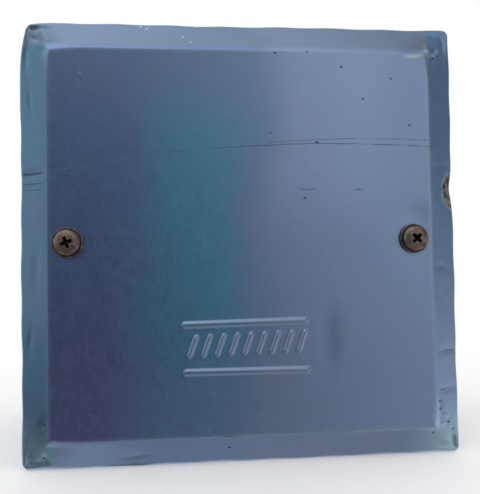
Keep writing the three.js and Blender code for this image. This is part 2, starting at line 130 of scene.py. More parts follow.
def rounded_path(corners, radii, spacing):
    """Points along a path whose inner corners are rounded off, each by its own radius."""
    corners = [np.array(c, float) for c in corners]
    points = [corners[0]]
    for before, corner, after, radius in zip(corners, corners[1:], corners[2:], radii):
        inward = (before - corner) / np.linalg.norm(before - corner)
        onward = (after - corner) / np.linalg.norm(after - corner)
        half_angle = math.acos(np.clip(inward @ onward, -1, 1)) / 2
        reach = radius / math.tan(half_angle)
        start, end = corner + inward * reach, corner + onward * reach
        centre = corner + (inward + onward) / np.linalg.norm(inward + onward) * radius / math.sin(half_angle)
        sweep = math.pi - 2 * half_angle
        steps = max(2, math.ceil(radius * sweep / (spacing / 2)))
        for step in range(steps + 1):
            share = step / steps
            weight = np.sin([(1 - share) * sweep, share * sweep]) / math.sin(sweep)
            points.append(centre + weight[0] * (start - centre) + weight[1] * (end - centre))
    points.append(corners[-1])
    dense = [points[0]]
    for a, b in zip(points, points[1:]):
        pieces = max(1, math.ceil(np.linalg.norm(b - a) / spacing - 1e-6))
        dense += [a + (b - a) * (i + 1) / pieces for i in range(pieces)]
    return np.array(dense)


# ---------------------------------------------------------------- node helpers
class Nodes:
    """Short calls for building one material's or the world's nodes."""

    def __init__(self, tree):
        self.tree = tree
        tree.nodes.clear()

    def add(self, kind, inputs=None, **settings):
        node = self.tree.nodes.new(kind)
        for key, value in settings.items():
            setattr(node, key, value)
        for key, value in (inputs or {}).items():
            self.feed(node.inputs[key], value)
        return node

    def feed(self, socket, value):
        if isinstance(value, bpy.types.NodeSocket):
            self.tree.links.new(value, socket)
        else:
            socket.default_value = value

    def math(self, operation, a, b=0.0, c=0.0):
        node = self.add("ShaderNodeMath", operation=operation)
        for socket, value in zip(node.inputs, (a, b, c)):
            self.feed(socket, value)
        return node.outputs[0]

    def ramp(self, value, low, high, out_low=0.0, out_high=1.0, smooth=True):
        node = self.add("ShaderNodeMapRange", interpolation_type="SMOOTHSTEP" if smooth else "LINEAR")
        for socket, number in zip(node.inputs, (value, low, high, out_low, out_high)):
            self.feed(socket, number)
        return node.outputs[0]

    def colours(self, value, stops, interpolation="EASE"):
        node = self.add("ShaderNodeValToRGB", {0: value})
        node.color_ramp.interpolation = interpolation
        elements = node.color_ramp.elements
        while len(elements) < len(stops):
            elements.new(0.5)
        for element, (place, colour) in zip(elements, stops):
            element.position = place
            element.color = (*colour, 1)
        return node.outputs[0]

    def mix(self, share, a, b, blend="MIX"):
        node = self.add("ShaderNodeMix", data_type="RGBA", blend_type=blend)
        self.feed(node.inputs["Factor"], share)
        for socket, colour in ((node.inputs["A"], a), (node.inputs["B"], b)):
            self.feed(socket, (*colour, 1) if isinstance(colour, tuple) and len(colour) == 3 else colour)
        return node.outputs["Result"]

    def noise(self, where, size_mm, detail=3.0, roughness=0.5):
        """Noise from 0 to 1 whose blobs are about size_mm across."""
        inputs = {"Vector": where, "Scale": 1 / (size_mm * MM), "Detail": detail, "Roughness": roughness}
        return self.add("ShaderNodeTexNoise", inputs).outputs[0]

    def cells(self, where, size_mm):
        """Irregular cells about size_mm across: distance to a cell's seed, and a number for each cell."""
        node = self.add("ShaderNodeTexVoronoi", {"Vector": where, "Scale": 1 / (size_mm * MM)})
        number = self.add("ShaderNodeSeparateColor", {0: node.outputs["Color"]}).outputs[0]
        return node.outputs["Distance"], number

    def point(self):
        """The point in the object's own frame, in metres."""
        return self.add("ShaderNodeTexCoord").outputs["Object"]

    def place(self):
        """The point in the object's own frame, in metres, and its three parts in millimetres."""
        where = self.point()
        parts = self.add("ShaderNodeSeparateXYZ", {0: where})
        return where, [self.math("MULTIPLY", part, 1 / MM) for part in parts.outputs]

    def stretched(self, where, scale):
        return self.add("ShaderNodeVectorMath", {0: where, 1: scale}, operation="MULTIPLY").outputs[0]

    def times(self, *values):
        product = values[0]
        for value in values[1:]:
            product = self.math("MULTIPLY", product, value)
        return product

    def arc(self, x, z, centre, peak, bend, width, span):
        """1 along the shallow arc z = peak - bend (x - centre)^2 between two x values, else 0."""
        aside = self.math("SUBTRACT", x, centre)
        level = self.math("MULTIPLY_ADD", self.times(aside, aside), -bend, peak)
        gap = self.math("ABSOLUTE", self.math("SUBTRACT", z, level))
        start = self.ramp(x, span[0], span[0] + 1.5)
        end = self.ramp(x, span[1], span[1] - 1.5)
        return self.times(self.ramp(gap, width, 0.3 * width), start, end)

    def patch(self, x, z, at, size, edge=0.5):
        """1 inside an ellipse, fading to 0 at its outline. edge is the share of it that fades."""
        u = self.math("MULTIPLY", self.math("SUBTRACT", x, at[0]), 1 / size[0])
        v = self.math("MULTIPLY", self.math("SUBTRACT", z, at[1]), 1 / size[1])
        reach = self.math("SQRT", self.math("ADD", self.times(u, u), self.times(v, v)))
        return self.ramp(reach, 1.0, 1.0 - edge)

    def highest(self, values):
        top = values[0]
        for value in values[1:]:
            top = self.math("MAXIMUM", top, value)
        return top

    def grey(self, value):
        return self.add("ShaderNodeCombineColor", {0: value, 1: value, 2: value}).outputs[0]


def srgb(red, green, blue):
    """A colour on the 0 to 255 screen scale as linear light."""
    values = [v / 255 for v in (red, green, blue)]
    return tuple(v / 12.92 if v <= 0.04045 else ((v + 0.055) / 1.055) ** 2.4 for v in values)


def new_material(name):
    material = bpy.data.materials.new(name)
    material.use_nodes = True
    return material, Nodes(material.node_tree)


def finish_material(nodes, height=None, bump_mm=0.02, **inputs):
    """The principled shader of a material, with a bump of bump_mm where height goes from 0 to 1."""
    if height is not None:
        bump = {"Height": height, "Strength": 1.0, "Distance": bump_mm * MM}
        inputs["Normal"] = nodes.add("ShaderNodeBump", bump).outputs[0]
    shader = nodes.add("ShaderNodeBsdfPrincipled", {k.replace("_", " "): v for k, v in inputs.items()})
    output = nodes.add("ShaderNodeOutputMaterial")
    nodes.tree.links.new(shader.outputs[0], output.inputs[0])


# ---------------------------------------------------------------- dimensions of the cover, in mm
SHEET = 0.8
BEVEL_RUN = 6.8
BEVEL_DROP = 2.6
RIM_RETURN = 1.6
PANEL_CORNER = 2.2
RIM_CORNER = 1.6
MITRE = 7.0  # how far the rounding of the border's corners reaches to either side
LEAD_IN = 2.2  # flat part of the panel that belongs to the edge's profile
SPACING = 0.30  # between points across the border
PANEL_SPACING = 0.85  # between points on the flat panel
HOLE_RADIUS = 1.8
cover_low, cover_high = node_corners("cover")
HALF_COVER = cover_high.x
HALF_PANEL = HALF_COVER - BEVEL_RUN
PANEL_Y = cover_high.y - RIM_RETURN - BEVEL_DROP  # the front of the raised panel
SCREW_X = sum(corner.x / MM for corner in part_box("cover_screw_right")) / 2


# ---------------------------------------------------------------- materials
def cover_steel():
    """Zinc-plated sheet with a blue passivation that drifts from violet through teal to grey. Part of that
    drift and of its zones is painted reflection, and the border carries painted highlights and painted shade.
    """
    material, n = new_material("cover_steel_blue_zinc")
    where, (x, _, z) = n.place()
    drift = n.noise(where, 34, detail=2.0)
    across = n.math("ADD", x, n.math("MULTIPLY", n.math("SUBTRACT", drift, 0.5), 20))
    across = n.math("SUBTRACT", across, n.math("MULTIPLY", z, 0.05))
    hue = n.colours(
        n.ramp(across, -52, 52, smooth=False),
        [
            (0.00, (0.24, 0.39, 0.71)),
            (0.20, (0.23, 0.37, 0.70)),
            (0.32, (0.23, 0.43, 0.73)),
            (0.46, (0.27, 0.45, 0.74)),
            (0.60, (0.36, 0.48, 0.76)),
            (1.00, (0.375, 0.515, 0.795)),
        ],
    )
    edge = n.math("MAXIMUM", n.math("ABSOLUTE", x), n.math("ABSOLUTE", z))
    on_border = n.ramp(edge, HALF_PANEL - 0.2, HALF_PANEL + 0.8)
    film = n.ramp(n.noise(where, 7, detail=3.0), 0.42, 0.62)
    right = n.times(n.ramp(x, 45.4, 46.2), n.ramp(z, -34, -6), n.ramp(z, 0, 30, 0.5, 0.85))
    off_ridge = n.math("ABSOLUTE", n.math("SUBTRACT", edge, HALF_PANEL - 0.1))
    # where the film has another colour, each zone painted over those before it; the zones mix film colour
    # with painted reflection
    zones = [
        # on the panel: the teal band (film colour and painted reflection), the lighter top right (film colour
        # and painted reflection), the top left, the bottom left and the bottom middle
        (
            n.times(
                n.times(n.ramp(across, -31, -20), n.ramp(across, 2, -9)),
                n.ramp(z, 46, 6, 0.25, 0.95),
                n.ramp(z, -44, -12, 0.45, 1.0),
            ),
            (0.18, 0.50, 0.77),
        ),
        (n.times(n.ramp(z, 22, 42), n.ramp(across, 8, -10), 0.6), (0.29, 0.38, 0.61)),
        (n.times(n.ramp(z, -4, 18), n.ramp(across, 2, 14), n.ramp(x, 44, 26), 0.75), (0.45, 0.60, 0.92)),
        (n.times(n.ramp(z, 8, -30), n.ramp(across, -14, -32)), (0.27, 0.32, 0.69)),
        (
            n.times(n.ramp(z, -24, -40), n.ramp(across, -34, -20), n.ramp(across, 10, -4), 0.6),
            (0.28, 0.46, 0.78),
        ),
        # on the border: bottom, left, greener patches, lower left darkened as painted shade, top, right, and
        # the lower corners and the bottom's left part lightened as painted reflection
        (n.times(on_border, n.ramp(z, -40, -47, 0, 0.75)), (0.35, 0.42, 0.66)),
        (n.times(on_border, n.ramp(x, -43.6, -46.0, 0, 0.8)), (0.24, 0.43, 0.62)),
        (n.times(on_border, film, n.ramp(x, -10, -48, 0.10, 0.4)), (0.20, 0.47, 0.62)),
        # painted shade on the lower left of the border
        (n.times(n.ramp(x, -44, -46.5), n.ramp(z, -16, -26), n.ramp(z, -44, -38), 0.7), (0.17, 0.36, 0.58)),
        (n.ramp(z, 45.6, 46.8, 0, 0.55), (0.33, 0.43, 0.56)),
        (right, (0.26, 0.44, 0.72)),
        # painted reflection: the lower corners and the left part of the bottom border are lightened
        (n.times(on_border, n.ramp(x, 36, 50), n.ramp(z, -38, -48)), (0.56, 0.80, 0.98)),
        (n.times(n.ramp(z, -45.0, -46.2), n.ramp(x, -20, -38), 0.6), (0.48, 0.68, 0.98)),
        (n.times(on_border, n.ramp(x, -43, -48), n.ramp(z, -40, -47), 0.8), (0.45, 0.74, 0.92)),
        # along the panel's edge, a pale line: film worn thin there, and a painted highlight along the ridge
        (n.ramp(off_ridge, 0.9, 0.1, 0, 0.22), (0.52, 0.62, 0.80)),
    ]
    for share, tint in zones:
        hue = n.mix(share, hue, tint)
    # the film is thinner where the stamp raises the sheet
    facing = n.add("ShaderNodeSeparateXYZ", {0: n.add("ShaderNodeNewGeometry").outputs["Normal"]}).outputs[1]
    raised = n.times(n.ramp(n.math("ABSOLUTE", facing), 0.998, 0.95), n.ramp(edge, 40, 38))
    hue = n.mix(n.times(raised, 0.8), hue, (0.40, 0.48, 0.66))
    # slow and fine mottling
    mottle = n.noise(where, 4, detail=5.0, roughness=0.62)
    grain = n.noise(n.stretched(where, (1.0, 1.0, 0.25)), 0.5, detail=4.0, roughness=0.7)
    tone = n.times(n.ramp(mottle, 0.3, 0.7, 0.985, 1.015), n.ramp(grain, 0.3, 0.7, 0.98, 1.02))
    colour = n.mix(1.0, hue, n.grey(tone), "MULTIPLY")
    # painted shade: a soft dark patch beside the stamp's right end, where the sheet dips
    painted_dent_shade = n.times(n.patch(x, z, (20.6, -23.0), (3.6, 10.0), 0.95), 0.35)
    colour = n.mix(painted_dent_shade, colour, (0.20, 0.28, 0.48))
    # long scratches, dashes and specks
    wobble = n.math("MULTIPLY", n.math("SUBTRACT", n.noise(where, 6), 0.5), 0.5)
    zw = n.math("ADD", z, wobble)
    breaks = n.ramp(n.noise(where, 3.5, detail=3.0), 0.36, 0.5, 0.25, 1.0)
    scratches = [
        n.arc(x, zw, 22.0, 22.9, 0.00145, 0.16, (-44.0, 46.5)),
        n.arc(x, zw, 30.0, 24.1, 0.00180, 0.12, (5.0, 46.0)),
        n.arc(x, zw, 16.0, 11.9, 0.0, 0.20, (12.5, 17.5)),
        n.arc(x, zw, 26.0, 11.9, 0.0, 0.20, (25.5, 29.0)),
        n.arc(x, zw, -6.0, -45.3, 0.01, 0.25, (-6.5, -1.5)),
        n.arc(x, zw, -49.0, 15.8, -0.06, 0.40, (-52.0, -45.8)),
        n.arc(x, zw, -49.0, 13.6, 0.0, 0.15, (-52.0, -45.5)),
        n.arc(x, zw, -49.0, 12.2, 0.0, 0.15, (-52.0, -46.0)),
        n.arc(x, zw, 49.0, -36.4, 0.03, 0.30, (46.0, 51.6)),
        n.arc(x, zw, 49.0, -27.2, 0.05, 0.20, (46.0, 51.6)),
        n.arc(x, zw, 47.0, -44.6, -0.30, 0.22, (46.0, 50.0)),
        n.arc(x, zw, 48.0, -42.2, 0.50, 0.20, (46.2, 49.0)),
        n.arc(x, zw, 0.0, -51.6, 0.0, 0.25, (-34.0, -22.0)),
    ]
    dark = n.times(n.highest(scratches), breaks)
    xs = n.math("ADD", x, n.math("MULTIPLY", n.math("SUBTRACT", n.noise(where, 0.8), 0.5), 0.8))
    specks = [
        (7.8, 44.6), (15.6, 45.0), (23.8, 41.4), (36.0, 38.7), (29.0, 33.7), (40.4, 27.4),
        (17.5, 23.2), (14.4, 9.9), (-4.4, -48.2), (48.6, 45.0), (46.4, -39.2), (49.0, -44.6),
        (47.4, 44.2), (46.6, -41.0), (50.2, -46.4), (44.8, -46.8), (-46.4, -41.4), (-46.9, -49.2),
    ]  # fmt: skip
    dots = n.highest([n.patch(xs, zw, at, (0.42, 0.34)) for at in specks])
    to_seed, cell_number = n.cells(where, 7)
    dust = n.times(n.ramp(to_seed, 0.042, 0.02), n.ramp(cell_number, 0.55, 0.56), 0.7)
    colour = n.mix(n.times(dark, 0.45), colour, (0.06, 0.08, 0.12))
    colour = n.mix(n.times(n.highest([dots, dust]), 0.75), colour, (0.045, 0.05, 0.07))
    bright = [(-23.8, 51.2), (-22.4, 50.7), (-13.9, 48.4), (-12.2, 47.2), (-10.7, 51.5), (-37.7, 39.4)]
    nicks_and_highlights = n.highest([n.patch(xs, zw, at, (0.40, 0.25)) for at in bright])
    # painted highlights: a broken bright line along the lower fold and a pale streak at the upper right
    # corner's fold, joined to the bare-metal nicks on the top edge
    fold = n.times(n.arc(x, zw, 36.0, -45.4, 0.0, 0.22, (24.0, 45.4)), breaks, 0.45)
    corner_highlight_spots = [((41.8, 44.2), (3.4, 0.8)), ((45.2, 46.0), (0.8, 2.4)), ((47.0, 45.0), (1.3, 0.9))]
    painted_corner_highlight = n.highest([n.patch(xs, zw, at, size, 0.9) for at, size in corner_highlight_spots])
    nicks_and_highlights = n.highest([nicks_and_highlights, fold, n.times(painted_corner_highlight, 0.8)])
    colour = n.mix(n.times(nicks_and_highlights, 0.8), colour, (0.80, 0.83, 0.88))
    # a crust where the rim is chipped, and a smudge below
    crust = n.ramp(n.noise(where, 1.3, detail=4.0, roughness=0.7), 0.34, 0.44)
    chip = n.times(n.patch(x, z, (51.2, 11.7), (2.9, 5.0), 0.25), crust)
    smudge = n.times(n.patch(x, z, (-26.2, -51.6), (2.6, 0.9), 0.6), 0.6)
    dirt = n.highest([chip, smudge])
    crumbs = n.colours(n.noise(where, 1.6, detail=3.0), [(0.40, srgb(46, 44, 40)), (0.62, srgb(104, 98, 86))])
    colour = n.mix(dirt, colour, crumbs)
    rough = n.math("ADD", n.ramp(mottle, 0.25, 0.75, 0.36, 0.39), n.ramp(grain, 0.3, 0.7, -0.03, 0.03))
    rough = n.math("ADD", rough, n.times(n.highest([dark, dirt]), 0.3))
    relief = n.math("SUBTRACT", n.times(grain, 0.15), n.times(n.highest([dark, dots]), 0.7))
    relief = n.math("ADD", relief, n.times(dirt, crust, 0.8))
    finish_material(
        n,
        height=relief,
        bump_mm=0.03,
        Base_Color=colour,
        Metallic=n.math("SUBTRACT", 1.0, dirt),
        Roughness=rough,
    )
    return material


def worn_metal(name, hues, size, rough, metallic=1.0, grime=0.8):
    """Metal whose colour drifts over patches of a size in mm, with pits, and painted shade with grime
    darkening its hollows.
    """
    material, n = new_material(name)
    where = n.point()
    blotch = n.noise(where, size, detail=4.0, roughness=0.6)
    pits = n.noise(where, 0.3, detail=3.0, roughness=0.6)
    colour = n.colours(blotch, hues, "LINEAR")
    open_sky = n.add("ShaderNodeAmbientOcclusion", {"Distance": 1.2 * MM}).outputs["AO"]
    # painted shade with grime: the colour darkens to near black where the surface is enclosed
    hollow_shade_and_grime = n.ramp(open_sky, 0.90, 0.55, 0, grime)
    colour = n.mix(1.0, colour, n.grey(n.ramp(pits, 0.3, 0.7, 0.88, 1.06)), "MULTIPLY")
    colour = n.mix(hollow_shade_and_grime, colour, (0.012, 0.009, 0.008))
    dull = n.math("ADD", n.ramp(blotch, 0.3, 0.7, rough[1], rough[0]), n.times(hollow_shade_and_grime, 0.3))
    finish_material(n, height=pits, bump_mm=0.006, Base_Color=colour, Metallic=metallic, Roughness=dull)
    return material


def box_steel():
    """Plated sheet of the box: blue-grey, rolled along one way, rubbed pale and dulled in places."""
    material, n = new_material("box_steel_blue_zinc")
    where = n.point()
    drift = n.noise(where, 45, detail=2.0)
    hue = n.colours(
        drift,
        [
            (0.34, (0.28, 0.37, 0.57)),
            (0.46, (0.27, 0.41, 0.58)),
            (0.56, (0.35, 0.44, 0.60)),
            (0.68, (0.40, 0.47, 0.60)),
        ],
    )
    _, spangle = n.cells(where, 4)
    mottle = n.noise(where, 2.5, detail=5.0, roughness=0.6)
    tone = n.times(n.ramp(spangle, 0, 1, 0.97, 1.03), n.ramp(mottle, 0.3, 0.7, 0.94, 1.05))
    colour = n.mix(1.0, hue, n.grey(tone), "MULTIPLY")
    rubbed = n.ramp(n.noise(n.stretched(where, (1.0, 0.4, 1.0)), 7, detail=7.0, roughness=0.75), 0.57, 0.66)
    colour = n.mix(n.times(rubbed, 0.35), colour, (0.52, 0.55, 0.60))
    lines = n.noise(n.stretched(where, (0.05, 1.0, 1.0)), 0.30, detail=1.0)
    drawn = n.noise(n.stretched(where, (1.0, 0.05, 1.0)), 0.34, detail=1.0)
    scratch = n.highest([n.ramp(lines, 0.72, 0.77), n.ramp(drawn, 0.73, 0.78)])
    colour = n.mix(n.times(scratch, 0.4), colour, (0.70, 0.74, 0.80))
    dull = n.ramp(n.noise(where, 3.5, detail=6.0, roughness=0.7), 0.64, 0.70)
    colour = n.mix(n.times(dull, 0.45), colour, (0.16, 0.17, 0.20))
    rough = n.math("ADD", n.ramp(mottle, 0.3, 0.7, 0.38, 0.46), n.times(dull, 0.25))
    relief = n.math("ADD", n.times(mottle, 0.5), n.times(scratch, -0.5))
    finish_material(n, height=relief, bump_mm=0.010, Base_Color=colour, Metallic=1.0, Roughness=rough)
    return material


def insulator():
    """Cream moulded polyamide with flow marks and handling dirt."""
    material, n = new_material("insulator_polyamide")
    where = n.point()
    cloud = n.noise(where, 8, detail=4.0)
    grime = n.ramp(n.noise(where, 4, detail=6.0, roughness=0.7), 0.55, 0.75, 0, 0.35)
    colour = n.colours(cloud, [(0.3, srgb(222, 214, 194)), (0.7, srgb(236, 231, 216))])
    colour = n.mix(grime, colour, srgb(168, 156, 132))
    skin = n.noise(where, 0.25, detail=2.0)
    finish_material(
        n,
        height=skin,
        bump_mm=0.008,
        Base_Color=colour,
        Roughness=n.ramp(cloud, 0.3, 0.7, 0.48, 0.40),
        Subsurface_Weight=0.15,
        Subsurface_Radius=(0.001, 0.0008, 0.0005),
        Subsurface_Scale=1.0,
    )
    return material


NICKEL = [
    (0.25, srgb(70, 54, 52)),
    (0.42, srgb(126, 104, 97)),
    (0.55, srgb(150, 134, 126)),
    (0.64, srgb(144, 136, 112)),
    (0.78, srgb(104, 84, 77)),
]
ZINC = [(0.3, (0.42, 0.44, 0.45)), (0.5, (0.58, 0.60, 0.60)), (0.7, (0.66, 0.64, 0.56))]
BRASSY = [(0.28, (0.42, 0.26, 0.09)), (0.45, (0.66, 0.46, 0.17)), (0.7, (0.80, 0.60, 0.26))]
GREEN = [(0.28, (0.03, 0.15, 0.06)), (0.5, (0.05, 0.26, 0.10)), (0.72, (0.12, 0.36, 0.16))]

COVER_STEEL = cover_steel()
BOX_STEEL = box_steel()
SCREW_STEEL = worn_metal("screw_steel_nickel", NICKEL, 1.5, (0.30, 0.46), metallic=0.92, grime=0.97)
SMALL_STEEL = worn_metal("screw_steel_zinc", ZINC, 2.5, (0.28, 0.42))
BRASS = worn_metal("brass_tarnished", BRASSY, 3.0, (0.24, 0.42))
EARTH_GREEN = worn_metal("earth_green_passivated", GREEN, 2.0, (0.30, 0.45), metallic=0.75)
INSULATOR = insulator()

# ---------------------------------------------------------------- cover
STAMP = {"x": 0.2, "z": -24.1, "tilt": 0.023, "bar": 29.8, "rise": 0.4}
BARS = ((4.85, -0.01), (-6.35, -0.03))  # each bar's offset from the middle, and its own tilt
DASHES = {"count": 9, "pitch": 3.2, "length": 5.6, "slant": 1.2}
STAMP_REGION = ((-17, -31.5), (17, -16.5), 3)  # two corners, and the cuts that make its grid finer

# knocks in the cover: place, size along and across, angle, depth
KNOCKS = [
    ((-45.6, 45.0), (1.6, 1.0), 0.8, 0.12),
    ((-48.8, 47.8), (1.2, 0.6), -0.5, 0.20),
    ((-50.6, 43.0), (0.6, 2.6), 0.1, 0.30),
    ((-47.4, 49.8), (0.7, 1.3), 0.3, -0.20),
    ((-49.4, 33.0), (0.5, 3.0), 0.1, 0.15),
    ((-49.0, 15.8), (3.2, 0.45), 0.22, 0.34),
    ((-49.0, 12.8), (2.6, 0.30), 0.15, 0.18),
    ((-48.0, -6.0), (1.0, 5.0), 0.0, 0.12),
    ((-49.6, -22.0), (0.6, 2.5), -0.1, 0.16),
    ((51.5, 13.0), (1.1, 3.4), 0.05, 0.55),
    ((49.0, 17.4), (2.6, 0.5), 0.1, 0.24),
    ((48.8, 33.2), (2.6, 0.5), 0.1, -0.15),
    ((41.5, 5.4), (3.6, 3.0), 0.2, 0.30),
    ((40.7, 0.0), (5.0, 5.0), 0.0, 0.18),
    ((-40.7, 0.0), (5.0, 5.0), 0.0, 0.18),
    ((-47.0, -41.2), (0.7, 0.5), 0.0, 0.35),
    ((-46.6, -49.4), (0.6, 1.2), 0.3, 0.30),
    ((48.6, -7.0), (2.6, 0.4), -0.2, 0.22),
    ((48.8, -27.2), (2.6, 0.4), 0.1, 0.24),
    ((48.8, -36.4), (2.6, 0.3), 0.1, 0.22),
    ((46.6, -40.2), (0.5, 1.4), 0.2, 0.30),
    ((48.6, -44.4), (1.6, 0.4), 0.9, 0.28),
    ((50.0, -48.6), (0.8, 0.8), 0.0, 0.25),
    ((44.8, 45.0), (1.8, 0.7), 0.5, -0.22),
    ((47.6, 45.8), (1.2, 0.7), 0.8, 0.30),
    ((19.6, -23.8), (2.4, 8.0), 0.0, 0.08),
    ((-26.0, -49.4), (3.4, 0.6), 0.1, 0.20),
    ((35.0, -45.4), (10.0, 0.4), 0.0, -0.06),
]


def segment_distance(x, z, centre_x, centre_z, length, angle):
    """Distance from points to a straight segment given by its centre, length and angle."""
    along = (x - centre_x) * math.cos(angle) + (z - centre_z) * math.sin(angle)
    aside = (z - centre_z) * math.cos(angle) - (x - centre_x) * math.sin(angle)
    return np.hypot(np.maximum(np.abs(along) - length / 2, 0), aside)


def stamp_height(x, z):
    """The stamped bars and slanted dashes, standing out of the panel."""
    tilt = STAMP["tilt"]

    def spot(u, v):
        return (
            STAMP["x"] + u * math.cos(tilt) - v * math.sin(tilt),
            STAMP["z"] + u * math.sin(tilt) + v * math.cos(tilt),
        )

    height = np.zeros_like(x)
    for offset, lean in BARS:
        gap = segment_distance(x, z, *spot(-0.4, offset), STAMP["bar"] - 1.6, tilt + lean)
        height = np.maximum(height, 1 - smoothstep(0.25, 0.95, gap))
    for index in range(DASHES["count"]):
        u = (index - (DASHES["count"] - 1) / 2) * DASHES["pitch"]
        gap = segment_distance(x, z, *spot(u, 0), DASHES["length"] - 1.1, tilt + DASHES["slant"])
        height = np.maximum(height, 1 - smoothstep(0.10, 0.70, gap))
    return STAMP["rise"] * height


def bump(x, z, at, size, angle=0.0):
    """A smooth round or long bump of height 1."""
    u = (x - at[0]) * math.cos(angle) + (z - at[1]) * math.sin(angle)
    v = (z - at[1]) * math.cos(angle) - (x - at[0]) * math.sin(angle)
    return np.exp(-((u / size[0]) ** 2) - (v / size[1]) ** 2)


def swell(x, z):
    """The slow unevenness of pressed sheet, from -1 to 1."""
    waves = [(0.071, 0.031, 0.4), (-0.042, 0.083, 2.1), (0.113, -0.067, 4.0), (0.021, 0.131, 1.2)]
    return sum(np.sin(a * x + b * z + c) for a, b, c in waves) / len(waves)


def cover_shift(x, z):
    """How far the cover's sheet is pushed back, and along x and z, by stamping, wear and knocks."""
    from_rim = HALF_COVER - np.maximum(np.abs(x), np.abs(z))
    back = 0.10 * swell(x, z) * smoothstep(0, 5, from_rim) - stamp_height(x, z)
    # the border's corners are rounded over instead of meeting in a sharp mitre
    off_mitre = np.hypot(np.abs(x) - np.abs(z), 2.0) - 2.0
    near_mitre = np.clip(1 - off_mitre / MITRE, 0, 1)
    fold = smoothstep(BEVEL_RUN + 0.8, BEVEL_RUN - 1.5, from_rim) * smoothstep(0.3, 1.8, from_rim)
    back = back + 0.25 * MITRE * BEVEL_DROP / BEVEL_RUN * near_mitre**2 * fold
    for at, size, angle, depth in KNOCKS:
        back = back + depth * bump(x, z, at, size, angle)
    # the rim is pressed in a little, except where it bulges at the upper left
    rim = 0.30 * smoothstep(6, 0, from_rim)
    ripple = 0.5 + 0.5 * np.sin(0.31 * (x + z) + 1.0) * np.sin(0.17 * (x - z))
    along_x = np.where(x < 0, 1, -1) * rim * ripple * (1 - bump(x, z, (-52, 41), (20, 9)))
    along_z = np.where(z < 0, 1, -1) * rim * ripple * (1 - bump(x, z, (-46, 52), (7, 20)))
    along_x = along_x * (np.abs(x) > np.abs(z) - 3)
    along_z = along_z * (np.abs(z) > np.abs(x) - 3)
    # the upper left corner is pushed in, and the right rim is bitten away beside its chip
    along_x = along_x + 1.3 * bump(x, z, (-52, 53), (4, 7)) - 0.5 * bump(x, z, (52.5, 12.6), (1.6, 3.2))
    along_z = along_z - 0.3 * bump(x, z, (-52, 52), (6, 3))
    return back, along_x, along_z


def open_vertices(bm):
    """The vertices on open edges, in the same order in every run."""
    return list(dict.fromkeys(v for e in bm.edges if e.is_boundary for v in e.verts))


def flat_grid(lines, fine_regions):
    """A flat square grid as a bmesh, finer in some regions, with the two screw holes cut."""
    both = np.concatenate([-lines[:0:-1], lines])
    bm = bmesh.new()
    rows = [[bm.verts.new((u, 0, v)) for u in both] for v in both]
    for row, above in zip(rows, rows[1:]):
        for a, b, c, d in zip(row, row[1:], above[1:], above):
            bm.faces.new((a, b, c, d))
    for low, high, cuts in fine_regions:
        centres = [(face, face.calc_center_median()) for face in bm.faces]
        inside = [f for f, p in centres if low[0] < p.x < high[0] and low[1] < p.z < high[1]]
        edges = list(dict.fromkeys(edge for face in inside for edge in face.edges))
        bmesh.ops.subdivide_edges(bm, edges=edges, cuts=cuts, use_grid_fill=True)
    for side in (-1, 1):
        spot = Vector((side * SCREW_X, 0, 0))
        gone = [f for f in bm.faces if (f.calc_center_median() - spot).length < HOLE_RADIUS]
        bmesh.ops.delete(bm, geom=gone, context="FACES")
        for vert in open_vertices(bm):
            offset = vert.co - spot
            if offset.length < 2 * HOLE_RADIUS:
                vert.co = spot + offset.normalized() * HOLE_RADIUS
    return bm


def wrapped(u, v, along, reach, radius):
    """Points of a square grid moved onto rings of a reach whose corners have a radius: x and z."""
    angle = np.maximum(along - (reach - radius), 0) / radius * math.pi / 4
    main = reach - radius + radius * np.cos(angle)
    side = np.where(angle > 0, reach - radius + radius * np.sin(angle), along)
    wide = np.abs(u) >= np.abs(v)
    return np.sign(u) * np.where(wide, main, side), np.sign(v) * np.where(wide, side, main)


def on_sheet(u, v, lines, half, depth):
    """Where the flat grid's points go on a square sheet with rounded corners: x, depth and z."""
    ring = np.maximum(np.maximum(np.abs(u), np.abs(v)), 1e-9)
    reach = np.interp(ring, lines, half)
    corners = [0, PANEL_CORNER, RIM_CORNER - SHEET, RIM_CORNER]
    sizes = [0, HALF_PANEL, HALF_COVER - SHEET, HALF_COVER]
    radius = np.maximum(np.interp(reach, sizes, corners), 1e-6)
    x, z = wrapped(u, v, np.minimum(np.abs(u), np.abs(v)) / ring * reach, reach, radius)
    return x, np.interp(ring, lines, depth), z


